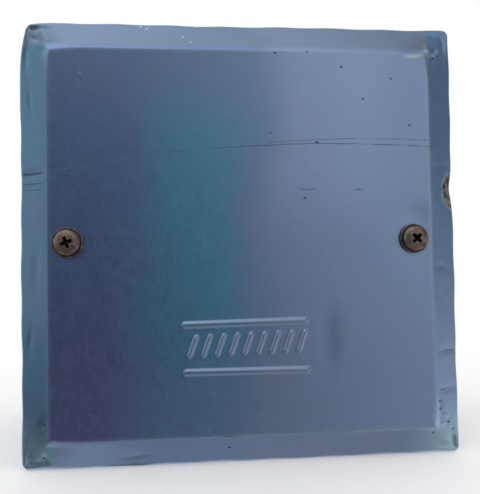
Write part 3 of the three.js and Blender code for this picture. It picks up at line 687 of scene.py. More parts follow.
def mesh_cover():
    """The pressed cover: front and back skins of one sheet, joined at the skirt and at the holes."""
    slope = BEVEL_DROP / BEVEL_RUN
    lean = math.atan(slope)
    rim_y = PANEL_Y + BEVEL_DROP
    edge_y = rim_y + RIM_RETURN
    middle = HALF_COVER - SHEET / 2
    inside = HALF_COVER - SHEET
    start = HALF_PANEL - LEAD_IN
    ridge, rim = (HALF_PANEL, PANEL_Y), (HALF_COVER, rim_y)
    corners = [(start, PANEL_Y), ridge, rim, (HALF_COVER, edge_y), (middle, edge_y)]
    outer = rounded_path(corners, [1.6, 0.7, 0.25], SPACING)
    inner_y = PANEL_Y + SHEET
    turn = (HALF_PANEL - SHEET * math.tan(lean / 2), inner_y)
    under_rim = (inside, PANEL_Y + SHEET * math.hypot(1, slope) + (inside - HALF_PANEL) * slope)
    corners = [(start, inner_y), turn, under_rim, (inside, edge_y), (middle, edge_y)]
    inner = rounded_path(corners, [0.8, 0.2, 0.2], SPACING)
    # the same number of rings inside as outside, so that the two skins meet point for point
    shares = np.linspace(0, 1, len(outer)), np.linspace(0, 1, len(inner))
    inner = np.stack([np.interp(*shares, inner[:, i]) for i in (0, 1)], 1)
    panel = np.arange(0, start - 0.2, PANEL_SPACING)
    steps = np.linalg.norm(np.diff(outer, axis=0), axis=1)
    lines = np.concatenate([panel, start + np.concatenate([[0], np.cumsum(steps)])])
    skins = []
    for profile, fine in ((outer, [STAMP_REGION]), (inner, [])):
        bm = flat_grid(lines, fine)
        half = np.concatenate([panel, profile[:, 0]])
        depth = np.concatenate([np.full(len(panel), profile[0, 1]), profile[:, 1]])
        u, v = (np.array([vert.co[axis] for vert in bm.verts]) for axis in (0, 2))
        x, y, z = on_sheet(u, v, lines, half, depth)
        back, along_x, along_z = cover_shift(x, z)
        for vert, place in zip(bm.verts, zip(x + along_x, y + back, z + along_z)):
            vert.co = place
        skins.append(bm)
    front, rear = skins
    rear_mesh = bpy.data.meshes.new("rear")
    rear.to_mesh(rear_mesh)
    rear.free()
    front.from_mesh(rear_mesh)
    bpy.data.meshes.remove(rear_mesh)
    bmesh.ops.remove_doubles(front, verts=open_vertices(front), dist=0.02)
    for side in (-1, 1):
        loops = [e for e in front.edges if e.is_boundary and e.verts[0].co.x * side > 0]
        bmesh.ops.bridge_loops(front, edges=loops)
    return object_from_bmesh("cover_plate", front, smooth_angle=60)


settle(mesh_cover(), "cover", "cover_steel", COVER_STEEL, "cover")


# ---------------------------------------------------------------- turned and threaded shapes
def ring_faces(rings):
    """Faces between rings of point numbers. A ring of one point closes an end."""
    faces = []
    for ring, after in zip(rings, rings[1:]):
        count = max(len(ring), len(after))
        for i in range(count):
            j = (i + 1) % count
            a, b = ring[i % len(ring)], ring[j % len(ring)]
            c, d = after[j % len(after)], after[i % len(after)]
            face = tuple(dict.fromkeys((a, b, c, d)))
            if len(face) > 2:
                faces.append(face)
    return faces


def lathe(profile, segments=64):
    """A closed shape turned round the Y axis from (radius, depth) pairs."""
    angles = np.arange(segments) / segments * TURN
    points, rings = [], []
    for radius, depth in profile:
        count = segments if radius > 1e-6 else 1
        rings.append(list(range(len(points), len(points) + count)))
        points += [(radius * math.cos(a), depth, radius * math.sin(a)) for a in angles[:count]]
    return points, rings


def turned_ring(outer, inner, low, high, edge=0.12, segments=64):
    """A flat ring with rounded edges, from depth low to high."""
    middle = (low + high) / 2
    corners = [(inner, middle), (inner, low), (outer, low), (outer, high), (inner, high), (inner, middle)]
    profile = rounded_path(corners, [edge] * 4, 0.3)[:-1]
    points, rings = lathe(profile, segments)
    return points, ring_faces(rings + [rings[0]])


def threaded_shank(radius, length, pitch, segments=24, per_pitch=6):
    """A shank with a helical thread and a chamfered tip. It starts inside the head."""
    steps = round((length + 0.3) / pitch * per_pitch)
    thread = 0.55 * pitch
    points, rings = [], []
    for step in range(steps + 1):
        y = -0.3 + (length + 0.3) * step / steps
        chamfer = max(0.0, y - (length - radius / 2))
        fade = min(1.0, max(0.0, (y - 0.3) / 0.5))
        rings.append(list(range(len(points), len(points) + segments)))
        for k in range(segments):
            phase = (y / pitch - k / segments) % 1.0
            root = abs(2 * phase - 1) ** 0.8
            r = min(radius - thread * root * fade, radius - chamfer)
            angle = k / segments * TURN
            points.append((r * math.cos(angle), y, r * math.sin(angle)))
    rings = [[len(points)]] + rings + [[len(points) + 1]]
    points += [(0, -0.3, 0), (0, length, 0)]
    return points, ring_faces(rings)


CHEEK = 0.35  # straight part of a pan head's side, as a share of its height


def cross_head(size, cells=22):
    """A pan head with a cross recess: a square grid wrapped to a disc, then its cheek and underside."""
    reach, recess, tall = size["head"], size["recess"], size["height"]
    fine = np.linspace(0, recess * 1.15, cells)
    lines = np.concatenate([fine, np.linspace(fine[-1], reach, cells // 2)[1:]])
    both = np.concatenate([-lines[:0:-1], lines])
    u, v = np.meshgrid(both, both)
    ring = np.maximum(np.maximum(np.abs(u), np.abs(v)), 1e-9)
    radius = np.maximum(ring * smoothstep(recess * 1.1, reach * 0.93, ring) * 0.999, 1e-6)
    x, z = wrapped(u, v, np.minimum(np.abs(u), np.abs(v)), ring, radius)
    out = np.hypot(x, z)
    cheek = CHEEK * tall
    dome = cheek + (tall - cheek) * np.sqrt(np.clip(1 - (out / reach) ** 2.6, 0, 1))
    # the recess: two crossing wings that narrow outwards, over a cone in the middle
    width = 0.25 * recess * (1.2 - 0.25 * out / recess)
    level = np.maximum(np.abs(x) - width, np.abs(z) - recess)
    upright = np.maximum(np.abs(z) - width, np.abs(x) - recess)
    opened = np.minimum(np.minimum(level, upright), out - 0.46 * recess)
    floor_depth = size["depth"] * np.clip(1.1 - 0.45 * out / recess, 0, 1)
    lip = 0.03 * np.exp(-(((opened - 0.12) / 0.08) ** 2))
    height = dome - floor_depth * smoothstep(0.06, -0.06, opened) + lip
    points = list(zip(x.ravel(), -height.ravel(), z.ravel()))
    count = len(both)
    last = count - 1
    faces = []
    for row in range(last):
        for col in range(last):
            a = row * count + col
            faces.append((a, a + 1, a + count + 1, a + count))
    loop = list(range(last)) + [i * count + last for i in range(last)]
    loop += [last * count + i for i in range(last, 0, -1)] + [i * count for i in range(last, 0, -1)]
    rings = [loop]
    for share, depth in ((1.0, -cheek * 0.35), (0.985, -0.05), (0.95, 0.0), (0.5, 0.0)):
        rings.append(list(range(len(points), len(points) + len(loop))))
        for index in loop:
            px, _, pz = points[index]
            scale = reach * share / math.hypot(px, pz)
            points.append((px * scale, depth, pz * scale))
    rings.append([len(points)])
    points.append((0, 0, 0))
    return points, faces + ring_faces(rings)


def joined(*shapes):
    """Several closed shapes as one list of points and faces."""
    points, faces = [], []
    for more_points, more_faces in shapes:
        start = len(points)
        points += list(more_points)
        faces += [tuple(i + start for i in face) for face in more_faces]
    return points, faces


def placed(shape, at, turn=0.0):
    """A shape turned about the Y axis and moved to a place."""
    points, faces = shape
    spin = Matrix.Rotation(-turn, 3, "Y")
    return [spin @ Vector(p) + Vector(at) for p in points], faces


def solid_object(name, shape, smooth_angle=50):
    piece = object_from(name, shape[0], shape[1], smooth_angle)
    bm = bmesh.new()
    bm.from_mesh(piece.data)
    bmesh.ops.recalc_face_normals(bm, faces=bm.faces)
    bm.to_mesh(piece.data)
    bm.free()
    return piece


M3_SCREW = {"head": 3.0, "height": 1.7, "recess": 1.3, "depth": 1.45, "radius": 1.5, "pitch": 0.5}
M4_SCREW = {"head": 4.0, "height": 3.0, "recess": 1.9, "depth": 2.0, "radius": 2.0, "pitch": 0.7}
M3_HOLE = 1.7  # radius of a clearance hole
M4_HOLE = 2.2
FIT = 0.05  # gap between parts that touch


def cross_screw(size, length):
    return joined(cross_head(size), threaded_shank(size["radius"], length, size["pitch"]))


def middle_of(node):
    low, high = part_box(node)
    return (low + high) / 2 / MM


for side, turn in (("left", math.radians(20)), ("right", math.radians(45))):
    low, high = node_corners(f"cover_washer_{side}")
    middle = middle_of(f"cover_washer_{side}")
    flat = turned_ring(3.5, M3_HOLE, low.y, high.y, 0.14)
    washer = solid_object(f"washer_{side}", placed(flat, (middle.x, 0, middle.z)))
    settle(washer, f"cover_washer_{side}", "screw_steel", SCREW_STEEL, f"cover_washer_{side}")
    under_head = low.y - FIT
    tip = node_depths(f"cover_screw_{side}")[1]
    shape = cross_screw(M3_SCREW, tip - under_head)
    screw = solid_object(f"screw_{side}", placed(shape, (middle.x, under_head, middle.z), turn))
    settle(screw, f"cover_screw_{side}", "screw_steel", SCREW_STEEL, f"cover_screw_{side}")


# ---------------------------------------------------------------- solids cut from solids
AXES = {"x": (1, 2, 0), "y": (0, 2, 1), "z": (0, 1, 2)}  # the outline's two axes, then the third


def prism(outline, axis, low, high):
    """A closed outline drawn out along an axis from low to high."""
    first, second, third = AXES[axis]
    points = []
    for level in (low, high):
        for a, b in outline:
            point = [0.0, 0.0, 0.0]
            point[first], point[second], point[third] = a, b, level
            points.append(point)
    count = len(outline)
    sides = [(i, (i + 1) % count, (i + 1) % count + count, i + count) for i in range(count)]
    return points, sides + [tuple(range(count)), tuple(range(count, 2 * count))]


def block(low, high):
    (x0, y0, z0), (x1, y1, z1) = low, high
    return prism([(x0, y0), (x1, y0), (x1, y1), (x0, y1)], "z", z0, z1)


def circle(radius, at=(0, 0), segments=56, turn=0.0):
    angles = np.arange(segments) / segments * TURN + turn
    return [(at[0] + radius * math.cos(a), at[1] + radius * math.sin(a)) for a in angles]


def rod(axis, radius, low, high, at=(0, 0), segments=56):
    return prism(circle(radius, at, segments), axis, low, high)


def lens(axis, at, level, side, radius=1.9, depth=0.28):
    """A shallow round dimple's cutter on a face at a level whose outside is towards side."""
    first, second, third = AXES[axis]
    profile = [(0, depth)] + [(radius * s, depth * (1 - s * s)) for s in (0.35, 0.65, 0.85, 1.0)]
    profile += [(radius * 1.2, -0.4), (0, -0.4)]
    points, rings = lathe(profile, 32)
    moved = []
    for x, y, z in points:
        point = [0.0, 0.0, 0.0]
        point[first], point[second] = at[0] + x, at[1] + z
        point[third] = level - side * y
        moved.append(point)
    return moved, ring_faces(rings)


def carve(name, adds, cuts, edge=0.15, segments=2, sharp=33):
    """One solid: the added shapes joined, the cuts taken out, and its sharp edges rounded."""
    base = solid_object(name, adds[0])
    tools = []
    for operation, shapes in (("UNION", adds[1:]), ("DIFFERENCE", cuts)):
        for shape in shapes:
            tool = solid_object(name + "_tool", shape)
            modifier = base.modifiers.new(operation, "BOOLEAN")
            modifier.operation = operation
            modifier.object = tool
            modifier.solver = "EXACT"
            tools.append(tool)
    bpy.context.view_layer.update()
    done = base.evaluated_get(bpy.context.evaluated_depsgraph_get())
    bm = bmesh.new()
    bm.from_mesh(done.to_mesh())
    done.to_mesh_clear()
    for spare in (*tools, base):
        discard(spare)
    bmesh.ops.scale(bm, vec=(1 / MM,) * 3, verts=bm.verts)
    bmesh.ops.remove_doubles(bm, verts=bm.verts, dist=0.004)
    bmesh.ops.dissolve_limit(bm, angle_limit=math.radians(1.5), verts=bm.verts, edges=bm.edges)
    bmesh.ops.recalc_face_normals(bm, faces=bm.faces)
    if edge:
        folds = [e for e in bm.edges if len(e.link_faces) == 2]
        corners = [e for e in folds if e.calc_face_angle() > math.radians(sharp)]
        rounding = {"offset": edge, "segments": segments, "profile": 0.5, "clamp_overlap": True}
        bmesh.ops.bevel(bm, geom=corners, affect="EDGES", **rounding)
    return evened(object_from_bmesh(name, bm, smooth_angle=35))


def evened(piece):
    """Large faces keep a flat shading, and the small rounded ones take up the turn."""
    modifier = piece.modifiers.new("even", "WEIGHTED_NORMAL")
    modifier.keep_sharp = True
    return piece


# ---------------------------------------------------------------- back box
HALF_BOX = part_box("back_channel")[1].x / MM
BOX_DEPTH = -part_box("back_channel")[0].y / MM
WALL = 1.2
BEND = 2.4  # outside radius of a bend
FLANGE = 9.0
RELIEF = 6.0  # the flanges stop this short of the corners
HOLE = 11.1  # radius of a knockout's hole
MID_Y = -BOX_DEPTH / 2
PITCH = 22.0  # from the middle to a side's knockouts
BACK_HOLE_Z = -24.0
SLOTS = (34.0, 36.0)  # the mounting slots' places, to the side and up
STRIP_Z = 14.0  # height of the terminal strip's middle
BRIDGE = {"top": 22.0, "foot": 31.0, "rise": 6.0, "half_width": 7.0}
EARTH = (28.0, -24.0)  # place of the earth terminal


def arc_points(centre, radius, start, end, steps=8):
    angles = np.linspace(start, end, steps + 1)
    return [(centre[0] + radius * math.cos(a), centre[1] + radius * math.sin(a)) for a in angles]


def slot_outline(x, z, length=9.0, radius=2.5):
    half = length / 2 - radius
    right = arc_points((x + half, z), radius, -math.pi / 2, math.pi / 2, 14)
    return right + arc_points((x - half, z), radius, math.pi / 2, 1.5 * math.pi, 14)


def channel():
    """The bent sheet of the box's top, back and bottom, with slots, holes and weld dimples."""
    corner, inner, quarter = HALF_BOX - BEND, BEND - WALL, math.pi / 2
    outline = [(-BOX_DEPTH, -HALF_BOX)]
    outline += arc_points((-BEND, -corner), BEND, -quarter, 0)
    outline += arc_points((-BEND, corner), BEND, 0, quarter)
    outline += [(-BOX_DEPTH, HALF_BOX), (-BOX_DEPTH, HALF_BOX - WALL)]
    outline += arc_points((-BEND, corner), inner, quarter, 0)
    outline += arc_points((-BEND, -corner), inner, 0, -quarter)
    outline += [(-BOX_DEPTH, WALL - HALF_BOX)]
    sheet = prism(outline, "x", -HALF_BOX, HALF_BOX)
    places = [(side * SLOTS[0], level * SLOTS[1]) for side in (-1, 1) for level in (-1, 1)]
    cuts = [prism(slot_outline(x, z), "y", -2 * WALL, WALL) for x, z in places]
    cuts.append(rod("y", HOLE, -2 * WALL, WALL, (0, BACK_HOLE_Z), 72))
    for side in (-1, 1):
        ends = sorted((side * (HALF_BOX - 2 * WALL), side * (HALF_BOX + WALL)))
        cuts += [rod("z", HOLE, *ends, (x, MID_Y), 72) for x in (-PITCH, PITCH)]
        welds = [(x, y) for x in (-45, 45) for y in (-55, MID_Y, -12)]
        cuts += [lens("z", at, side * HALF_BOX, side) for at in welds]
        cuts += [lens("y", (side * 45, z), 0, 1) for z in (-30, -10, 10, 30)]
        foot_middle = (BRIDGE["top"] + BRIDGE["foot"]) / 2
        cuts += [lens("y", (side * foot_middle, STRIP_Z + z), 0, 1) for z in (-4, 4)]
    cuts.append(lens("y", EARTH, 0, 1, radius=3.0))
    return carve("channel", [sheet], cuts, edge=0.14)


settle(channel(), "back_box", "box_steel", BOX_STEEL, "back_channel")


def side_plate(name, side):
    """A flat side with three flanges. The bends between them are rounded."""
    outside = HALF_BOX - WALL - FIT
    back = -WALL - FIT
    corner = BEND - WALL + FIT

    def across(distance):
        return sorted((side * HALF_BOX, side * (HALF_BOX - distance)))

    outline = [(-BOX_DEPTH, -outside)]
    outline += arc_points((back - corner, corner - outside), corner, -math.pi / 2, 0)
    outline += arc_points((back - corner, outside - corner), corner, 0, math.pi / 2)
    outline += [(-BOX_DEPTH, outside)]
    adds = [prism(outline, "x", *across(WALL))]
    low_x, high_x = across(FLANGE)
    near, far = RELIEF - BOX_DEPTH, back - RELIEF
    adds.append(block((low_x, near, outside - WALL), (high_x, far, outside)))
    adds.append(block((low_x, near, -outside), (high_x, far, WALL - outside)))
    adds.append(block((low_x, back - WALL, RELIEF - outside), (high_x, back, outside - RELIEF)))
    ends = sorted((side * (HALF_BOX - 2 * WALL), side * (HALF_BOX + WALL)))
    cuts = [rod("x", HOLE, *ends, (MID_Y, z), 72) for z in (-PITCH, PITCH)]
    cuts += [lens("x", (-58, z), side * HALF_BOX, side) for z in (-4, 4)]
    return carve(name, adds, cuts, edge=0.18)


LUG = {"width": 14, "reach": 13.5, "depth": 14, "sheet": 1.5, "collar": 3.0, "length": 1.2}


def lug(name, side):
    """An angle in the side plate, with a drawn collar round the thread of a cover screw."""
    wall = side * (HALF_BOX - WALL - FIT)
    half, mouth, sheet = LUG["width"] / 2, -BOX_DEPTH, LUG["sheet"]

    def span(distance):
        return sorted((wall, wall - side * distance))

    leg, tab = span(sheet), span(LUG["reach"])
    end = mouth + sheet + LUG["length"]
    at = (side * SCREW_X, 0)
    adds = [
        block((tab[0], mouth, -half), (tab[1], mouth + sheet, half)),
        block((leg[0], mouth, -half), (leg[1], mouth + LUG["depth"], half)),
        rod("y", LUG["collar"], mouth + sheet / 2, end, at),
    ]
    return carve(name, adds, [rod("y", M3_HOLE, mouth - 1, end + 1, at, 40)], edge=0.2, segments=3)


for side, sign in (("left", -1), ("right", 1)):
    plate = side_plate(f"side_wall_{side}", sign)
    settle(plate, "back_box", "box_steel", BOX_STEEL, f"side_plate_{side}")
    settle(lug(f"lug_{side}", sign), "back_box", "box_steel", BOX_STEEL, f"cover_lug_{side}")


def knockout(node):
    """A punched blank with two ties, in the plane of its wall."""
    low, high = node_corners(node)
    size = high - low
    axis = min(range(3), key=lambda i: size[i])
    middle = (low + high) / 2
    letter = "xyz"[axis]
    first, second, third = AXES[letter]
    # the ties lie along the blank's longer way
    upright = size[second] > size[first]
    reach, body = max(size[first], size[second]) / 2, HOLE - 0.3
    half_tie = 1.1 / HOLE
    outline = []
    for tie in (math.pi / 2, 1.5 * math.pi):
        outline += arc_points((0, 0), reach, tie - half_tie, tie + half_tie, 4)
        outline += arc_points((0, 0), body, tie + half_tie, tie + math.pi - half_tie, 36)
    if not upright:
        outline = [(b, a) for a, b in outline]
    moved = [(middle[first] + a, middle[second] + b) for a, b in outline]
    blank = prism(moved, letter, low[third], high[third])
    outward = 1 if middle[third] > -1 and letter == "y" else math.copysign(1, middle[third])
    face = high[third] if outward > 0 else low[third]
    mark = lens(letter, (middle[first], middle[second]), face, outward, radius=1.2, depth=0.25)
    return carve(node + "_blank", [blank], [mark], edge=0.16)


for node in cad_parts:
    if node.startswith("knockout_"):
        settle(knockout(node), "back_box", "box_steel", BOX_STEEL, node)

# ---------------------------------------------------------------- terminal strip
STRIP_BACK = -WALL - 2 * FIT - BRIDGE["rise"]
STRIP_BASE = 9.0
STRIP_HALF = (19.0, 10.0)
TOWER = 6.0
BARREL = {"radius": 2.7, "bore": 1.8, "half": 9.5, "thread": 1.45}
CLAMP_HEAD = {"radius": 2.0, "height": 1.6, "half_slot": 0.3, "slot_floor": 0.8}
CLAMP_SHANK = {"radius": 1.25, "pitch": 0.45}
POLES = (-12.0, 0.0, 12.0)
CLAMP_Z = 5.5
FIXINGS = (-6.0, 6.0)
BARREL_Y = STRIP_BACK - STRIP_BASE / 2
CLAMPS = [(x, STRIP_Z + level * CLAMP_Z) for x in POLES for level in (-1, 1)]


def bridge():
    """The hat-shaped strip under the terminals, bent with real radii."""
    far, near = BRIDGE["foot"], BRIDGE["top"]
    foot = -WALL - FIT
    top = foot - BRIDGE["rise"]
    front = [(near, top), (near + WALL, foot - WALL), (far, foot - WALL)]
    rear = [(far, foot), (near, foot), (near - WALL, top + WALL)]
    outside = [(-x, y) for x, y in reversed(front)] + front
    inside = rear + [(-x, y) for x, y in reversed(rear)]
    outline = [tuple(p) for p in rounded_path(outside, [0.5, 1.6, 1.6, 0.5], 20.0)]
    outline += [tuple(p) for p in rounded_path(inside, [1.4, 0.5, 0.5, 1.4], 20.0)]
    strip = prism(outline, "z", STRIP_Z - BRIDGE["half_width"], STRIP_Z + BRIDGE["half_width"])
    cuts = [rod("y", M3_HOLE, top - 1, foot + 1, (x, STRIP_Z), 40) for x in FIXINGS]
    return carve("bridge", [strip], cuts, edge=0.14)


def strip_body():
    """The moulded block: rounded slab, towers over the clamp screws, and bores for the wires."""
    front = STRIP_BACK - STRIP_BASE
    tower_top = front - TOWER
    slab = prism(rounded_rectangle(*STRIP_HALF, 1.2, (0, STRIP_Z)), "y", front, STRIP_BACK)
    towers = [rod("y", 3.8, tower_top, front + 1, at, 48) for at in CLAMPS]
    ends = (STRIP_Z - STRIP_HALF[1] - 1, STRIP_Z + STRIP_HALF[1] + 1)
    bores = [rod("z", BARREL["radius"] + 0.15, *ends, (x, BARREL_Y), 40) for x in POLES]
    wells = [rod("y", 2.3, tower_top - 1, BARREL_Y, at, 40) for at in CLAMPS]
    holes = [rod("y", M3_HOLE, front - 1, STRIP_BACK + 1, (x, STRIP_Z), 32) for x in FIXINGS]
    notches = []
    for x in FIXINGS:
        for z in (STRIP_Z - STRIP_HALF[1], STRIP_Z + STRIP_HALF[1]):
            notches.append(block((x - 0.35, front - 1, z - 1.2), (x + 0.35, front + 2.2, z + 1.2)))
    return carve("strip_block", [slab, *towers], [*bores, *wells, *holes, *notches], edge=0.28, segments=3)


def rounded_rectangle(half_a, half_b, radius, at=(0, 0), steps=6):
    outline = []
    for corner, (a, b) in enumerate(((1, 1), (-1, 1), (-1, -1), (1, -1))):
        centre = (at[0] + a * (half_a - radius), at[1] + b * (half_b - radius))
        start = corner * math.pi / 2
        outline += arc_points(centre, radius, start, start + math.pi / 2, steps)
    return outline


def barrel(name, x):
    half = BARREL["half"]
    tube = rod("z", BARREL["radius"], STRIP_Z - half, STRIP_Z + half, (x, BARREL_Y), 48)
    bore = rod("z", BARREL["bore"], STRIP_Z - half - 1, STRIP_Z + half + 1, (x, BARREL_Y), 40)
    places = [(x, STRIP_Z + level * CLAMP_Z) for level in (-1, 1)]
    threads = [rod("y", BARREL["thread"], BARREL_Y - 4, BARREL_Y, at, 32) for at in places]
    return carve(name, [tube], [bore, *threads], edge=0.16)


def slotted_screw(name, at, under_head, tip, turn):
    """A cheese-head screw with a straight slot, cut across a rounded head."""
    radius, height, half_slot = CLAMP_HEAD["radius"], CLAMP_HEAD["height"], CLAMP_HEAD["half_slot"]
    corners = [(0, 0), (radius, 0), (radius, -height), (0, -height)]
    points, rings = lathe(rounded_path(corners, [0.15, 0.35], 0.25), 48)
    slot = block((-radius - 1, -height - 1, -half_slot), (radius + 1, -CLAMP_HEAD["slot_floor"], half_slot))
    head = carve(name, [(points, ring_faces(rings))], [slot], edge=0.07, sharp=50)
    thread = threaded_shank(CLAMP_SHANK["radius"], tip - under_head, CLAMP_SHANK["pitch"], 20)
    shank = solid_object(name + "_shank", thread)
    bm = bmesh.new()
    for piece in (head, shank):
        bm.from_mesh(piece.data)
        discard(piece)
    bmesh.ops.rotate(bm, verts=bm.verts, cent=(0, 0, 0), matrix=Matrix.Rotation(-turn, 3, "Y"))
    bmesh.ops.scale(bm, vec=(1 / MM,) * 3, verts=bm.verts)
    bmesh.ops.translate(bm, verts=bm.verts, vec=(at[0], under_head, at[1]))
    return evened(object_from_bmesh(name, bm, smooth_angle=40))


settle(bridge(), "back_box", "box_steel", BOX_STEEL, "terminal_bridge")
settle(strip_body(), "back_box", "insulator", INSULATOR, "terminal_strip_body")
for index, x in enumerate(POLES):
    tube = barrel(f"wire_barrel_{index + 1}", x)
    settle(tube, "back_box", "brass", BRASS, f"terminal_barrel_{index + 1}")
    for word, level, turn in (("upper", 1, 0.5 + 1.1 * index), ("lower", -1, 2.0 + 0.7 * index)):
        node = f"clamp_screw_{index + 1}_{word}"
        top, tip = node_depths(node)
        at = (x, STRIP_Z + level * CLAMP_Z)
        screw = slotted_screw(f"slotted_{index + 1}_{word}", at, top + CLAMP_HEAD["height"], tip, turn)
        settle(screw, node, "screw_steel", SMALL_STEEL, node)
for index, x in enumerate(FIXINGS):
    node = f"strip_fixing_screw_{index + 1}"
    tip = node_depths(node)[1]
    under_head = STRIP_BACK - STRIP_BASE - FIT
    shape = placed(cross_screw(M3_SCREW, tip - under_head), (x, under_head, STRIP_Z), 0.3 + index)
    settle(solid_object(f"fixing_{index + 1}", shape), "back_box", "screw_steel", SMALL_STEEL, node)


# ---------------------------------------------------------------- earth terminal
def corner_cutter(front):
    """A thick ring round the nut whose conical bore turns the corners off the nut's front."""
    profile = [(4.2, front + 0.55), (3.55, front - 0.1), (3.55, front - 1), (6, front - 1), (6, front + 0.55)]
    points, rings = lathe(profile, 64)
    moved = [(x + EARTH[0], y, z + EARTH[1]) for x, y, z in points]
    return moved, ring_faces(rings + [rings[0]])


def earth_nut():
    """A hexagonal weld nut with its corners turned off."""
    low, high = node_depths("earth_weld_nut")
    hexagon = prism(circle(4.05, EARTH, 6, math.pi / 2), "y", low, high)
    hole = rod("y", M4_HOLE, low - 1, high + 1, EARTH, 40)
    return carve("weld_nut", [hexagon], [hole, corner_cutter(low)], edge=0.08)


def earth_cup():
    """A square clamp washer whose upper and lower edges curl back round the wire."""
    low, high = node_depths("earth_clamp_washer")
    seat = low + 1.0
    path = [(-4.0, high), (-5.0, high), (-5.0, low), (5.0, low), (5.0, high)]
    path += [(4.0, high), (4.0, seat), (-4.0, seat), (-4.0, high)]
    outline = rounded_path(path, [0.1, 1.2, 1.2, 0.1, 0.1, 0.3, 0.3], 30.0)[:-1]
    section = [(y, z + EARTH[1]) for z, y in outline]
    sheet = prism(section, "x", EARTH[0] - 5, EARTH[0] + 5)
    hole = rod("y", M4_HOLE, low - 1, high + 1, EARTH, 40)
    return carve("clamp_plate", [sheet], [hole], edge=0.14)


def spring_ring():
    """A split ring of square wire whose two ends stand a little apart."""
    low, high = node_depths("earth_spring_washer")
    middle, wire, rise, radius = (low + high) / 2, 0.40, 0.10, 3.0
    steps = 72
    half_gap = 0.35 / radius
    points, rings = [], []
    for step in range(steps + 1):
        share = step / steps
        angle = half_gap + share * (TURN - 2 * half_gap)
        y = middle + rise * (2 * share - 1)
        rings.append(list(range(len(points), len(points) + 8)))
        for da, db in rounded_rectangle(0.75, wire, 0.12, steps=1):
            r = radius + da
            points.append((EARTH[0] + r * math.cos(angle), y + db, EARTH[1] + r * math.sin(angle)))
    caps = [tuple(rings[0]), tuple(rings[-1])]
    return solid_object("spring_ring", (points, ring_faces(rings) + caps))


settle(earth_nut(), "back_box", "box_steel", BOX_STEEL, "earth_weld_nut")
settle(earth_cup(), "earth_washers", "brass", BRASS, "earth_clamp_washer")
settle(spring_ring(), "earth_washers", "screw_steel", SMALL_STEEL, "earth_spring_washer")
earth_low, earth_high = node_depths("earth_screw")
earth_head = earth_low + M4_SCREW["height"]
earth_shape = cross_screw(M4_SCREW, earth_high - earth_head)
earth_shape = placed(earth_shape, (EARTH[0], earth_head, EARTH[1]), 0.6)
settle(solid_object("ground_screw", earth_shape), "earth_screw", "earth_green", EARTH_GREEN, "earth_screw")

# ---------------------------------------------------------------- stage, light and camera
RIM_Y = (PANEL_Y + BEVEL_DROP) * MM
FOCAL = 600 / 494  # focal length as a share of the image's longer side


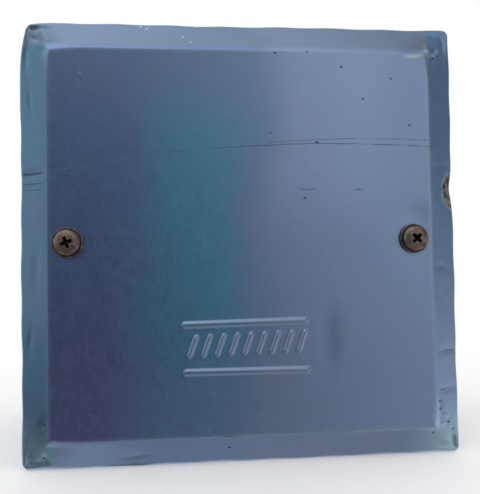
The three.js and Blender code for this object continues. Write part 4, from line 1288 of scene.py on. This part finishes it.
def floor():
    material, n = new_material("floor_pale")
    tone = n.noise(n.point(), 400, detail=2.0)
    pale = n.colours(tone, [(0.3, (0.88, 0.88, 0.88)), (0.7, (0.91, 0.91, 0.91))], "LINEAR")
    # a little glow lifts the floor to the white of the background
    finish_material(n, Base_Color=pale, Roughness=0.9, Emission_Color=(1, 1, 1, 1), Emission_Strength=0.135)
    bm = bmesh.new()
    bmesh.ops.create_grid(bm, x_segments=8, y_segments=8, size=4000)
    bmesh.ops.translate(bm, verts=bm.verts, vec=(0, 0, cover_low.z - 0.02))
    piece = object_from_bmesh("floor", bm)
    piece.data.materials.append(material)
    piece.visible_glossy = False
    piece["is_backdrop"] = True


def world_light():
    """White to the eye and on matt surfaces; metal mirrors a room that is dark in front of the cover."""
    world = bpy.data.worlds.new("studio")
    scene.world = world
    world.use_nodes = True
    n = Nodes(world.node_tree)
    direction = n.add("ShaderNodeTexCoord").outputs["Generated"]
    x, y, z = n.add("ShaderNodeSeparateXYZ", {0: direction}).outputs
    ahead = n.ramp(y, -0.45, -0.8)
    slanted = n.math("MULTIPLY_ADD", z, 0.42, x)
    lights = [
        n.times(ahead, n.ramp(slanted, 0.0, 0.23, 0, 0.255)),
        n.times(ahead, n.ramp(z, 0.12, 0.42, 0, 0.15)),
        n.times(ahead, n.ramp(z, -0.10, -0.32, 0, 0.10), n.ramp(x, -0.25, 0.1, 0.3, 1.0)),
        n.times(n.ramp(z, 0.45, 0.85), n.ramp(x, 0.20, -0.20, 0.22, 0.70)),
        n.times(n.ramp(x, -0.45, -0.85), n.ramp(z, -0.35, -0.05, 0.02, 0.38)),
        n.times(n.ramp(x, 0.55, 0.95), n.ramp(z, 0.15, -0.35, 0.10, 0.55)),
        n.ramp(z, -0.45, -0.85, 0, 0.30),
        n.ramp(y, -0.2, 0.3, 0, 0.35),
    ]
    room = 0.055
    for light in lights:
        room = n.math("ADD", room, light)
    glossy = n.add("ShaderNodeLightPath").outputs["Is Glossy Ray"]
    strength = n.add("ShaderNodeMix", data_type="FLOAT")
    n.feed(strength.inputs["Factor"], glossy)
    n.feed(strength.inputs["A"], 1.0)
    n.feed(strength.inputs["B"], room)
    shader = n.add("ShaderNodeBackground", {"Color": (1, 1, 1, 1), "Strength": strength.outputs["Result"]})
    output = n.add("ShaderNodeOutputWorld")
    n.tree.links.new(shader.outputs[0], output.inputs[0])


def softbox(name, at, aim, width, height, watts):
    light = bpy.data.lights.new(name, "AREA")
    light.shape = "RECTANGLE"
    light.size = width
    light.size_y = height
    light.energy = watts
    lamp = bpy.data.objects.new(name, light)
    scene.collection.objects.link(lamp)
    lamp.location = at
    lamp.rotation_euler = (Vector(aim) - Vector(at)).to_track_quat("-Z", "Y").to_euler()


def camera():
    """The camera close in front of the cover, a little left of and below its middle."""
    spot = Vector((-13.93 * MM, RIM_Y - 142.47 * MM, -5.85 * MM))
    ahead = Vector((0.0901, 0.9955, 0.0309)).normalized()
    right = Vector((0.9958, -0.0896, -0.0163))
    right = (right - right.dot(ahead) * ahead).normalized()
    up = right.cross(ahead)
    data = bpy.data.cameras.new("camera")
    data.sensor_width = 36
    data.lens = FOCAL * data.sensor_width
    data.clip_start = 0.01
    view = bpy.data.objects.new("camera", data)
    scene.collection.objects.link(view)
    turn = Matrix((right, up, -ahead)).transposed()
    view.matrix_world = Matrix.Translation(spot) @ turn.to_4x4()
    scene.camera = view


floor()
world_light()
MIDDLE = (0, RIM_Y, 0)
softbox("key", (0.42, -0.80, 0.20), MIDDLE, 0.50, 0.60, 0.15)
softbox("top", (-0.05, -0.40, 0.75), MIDDLE, 0.70, 0.45, 0.15)
camera()
scene.view_settings.view_transform = "Standard"
scene.view_settings.look = "None"

low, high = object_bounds()
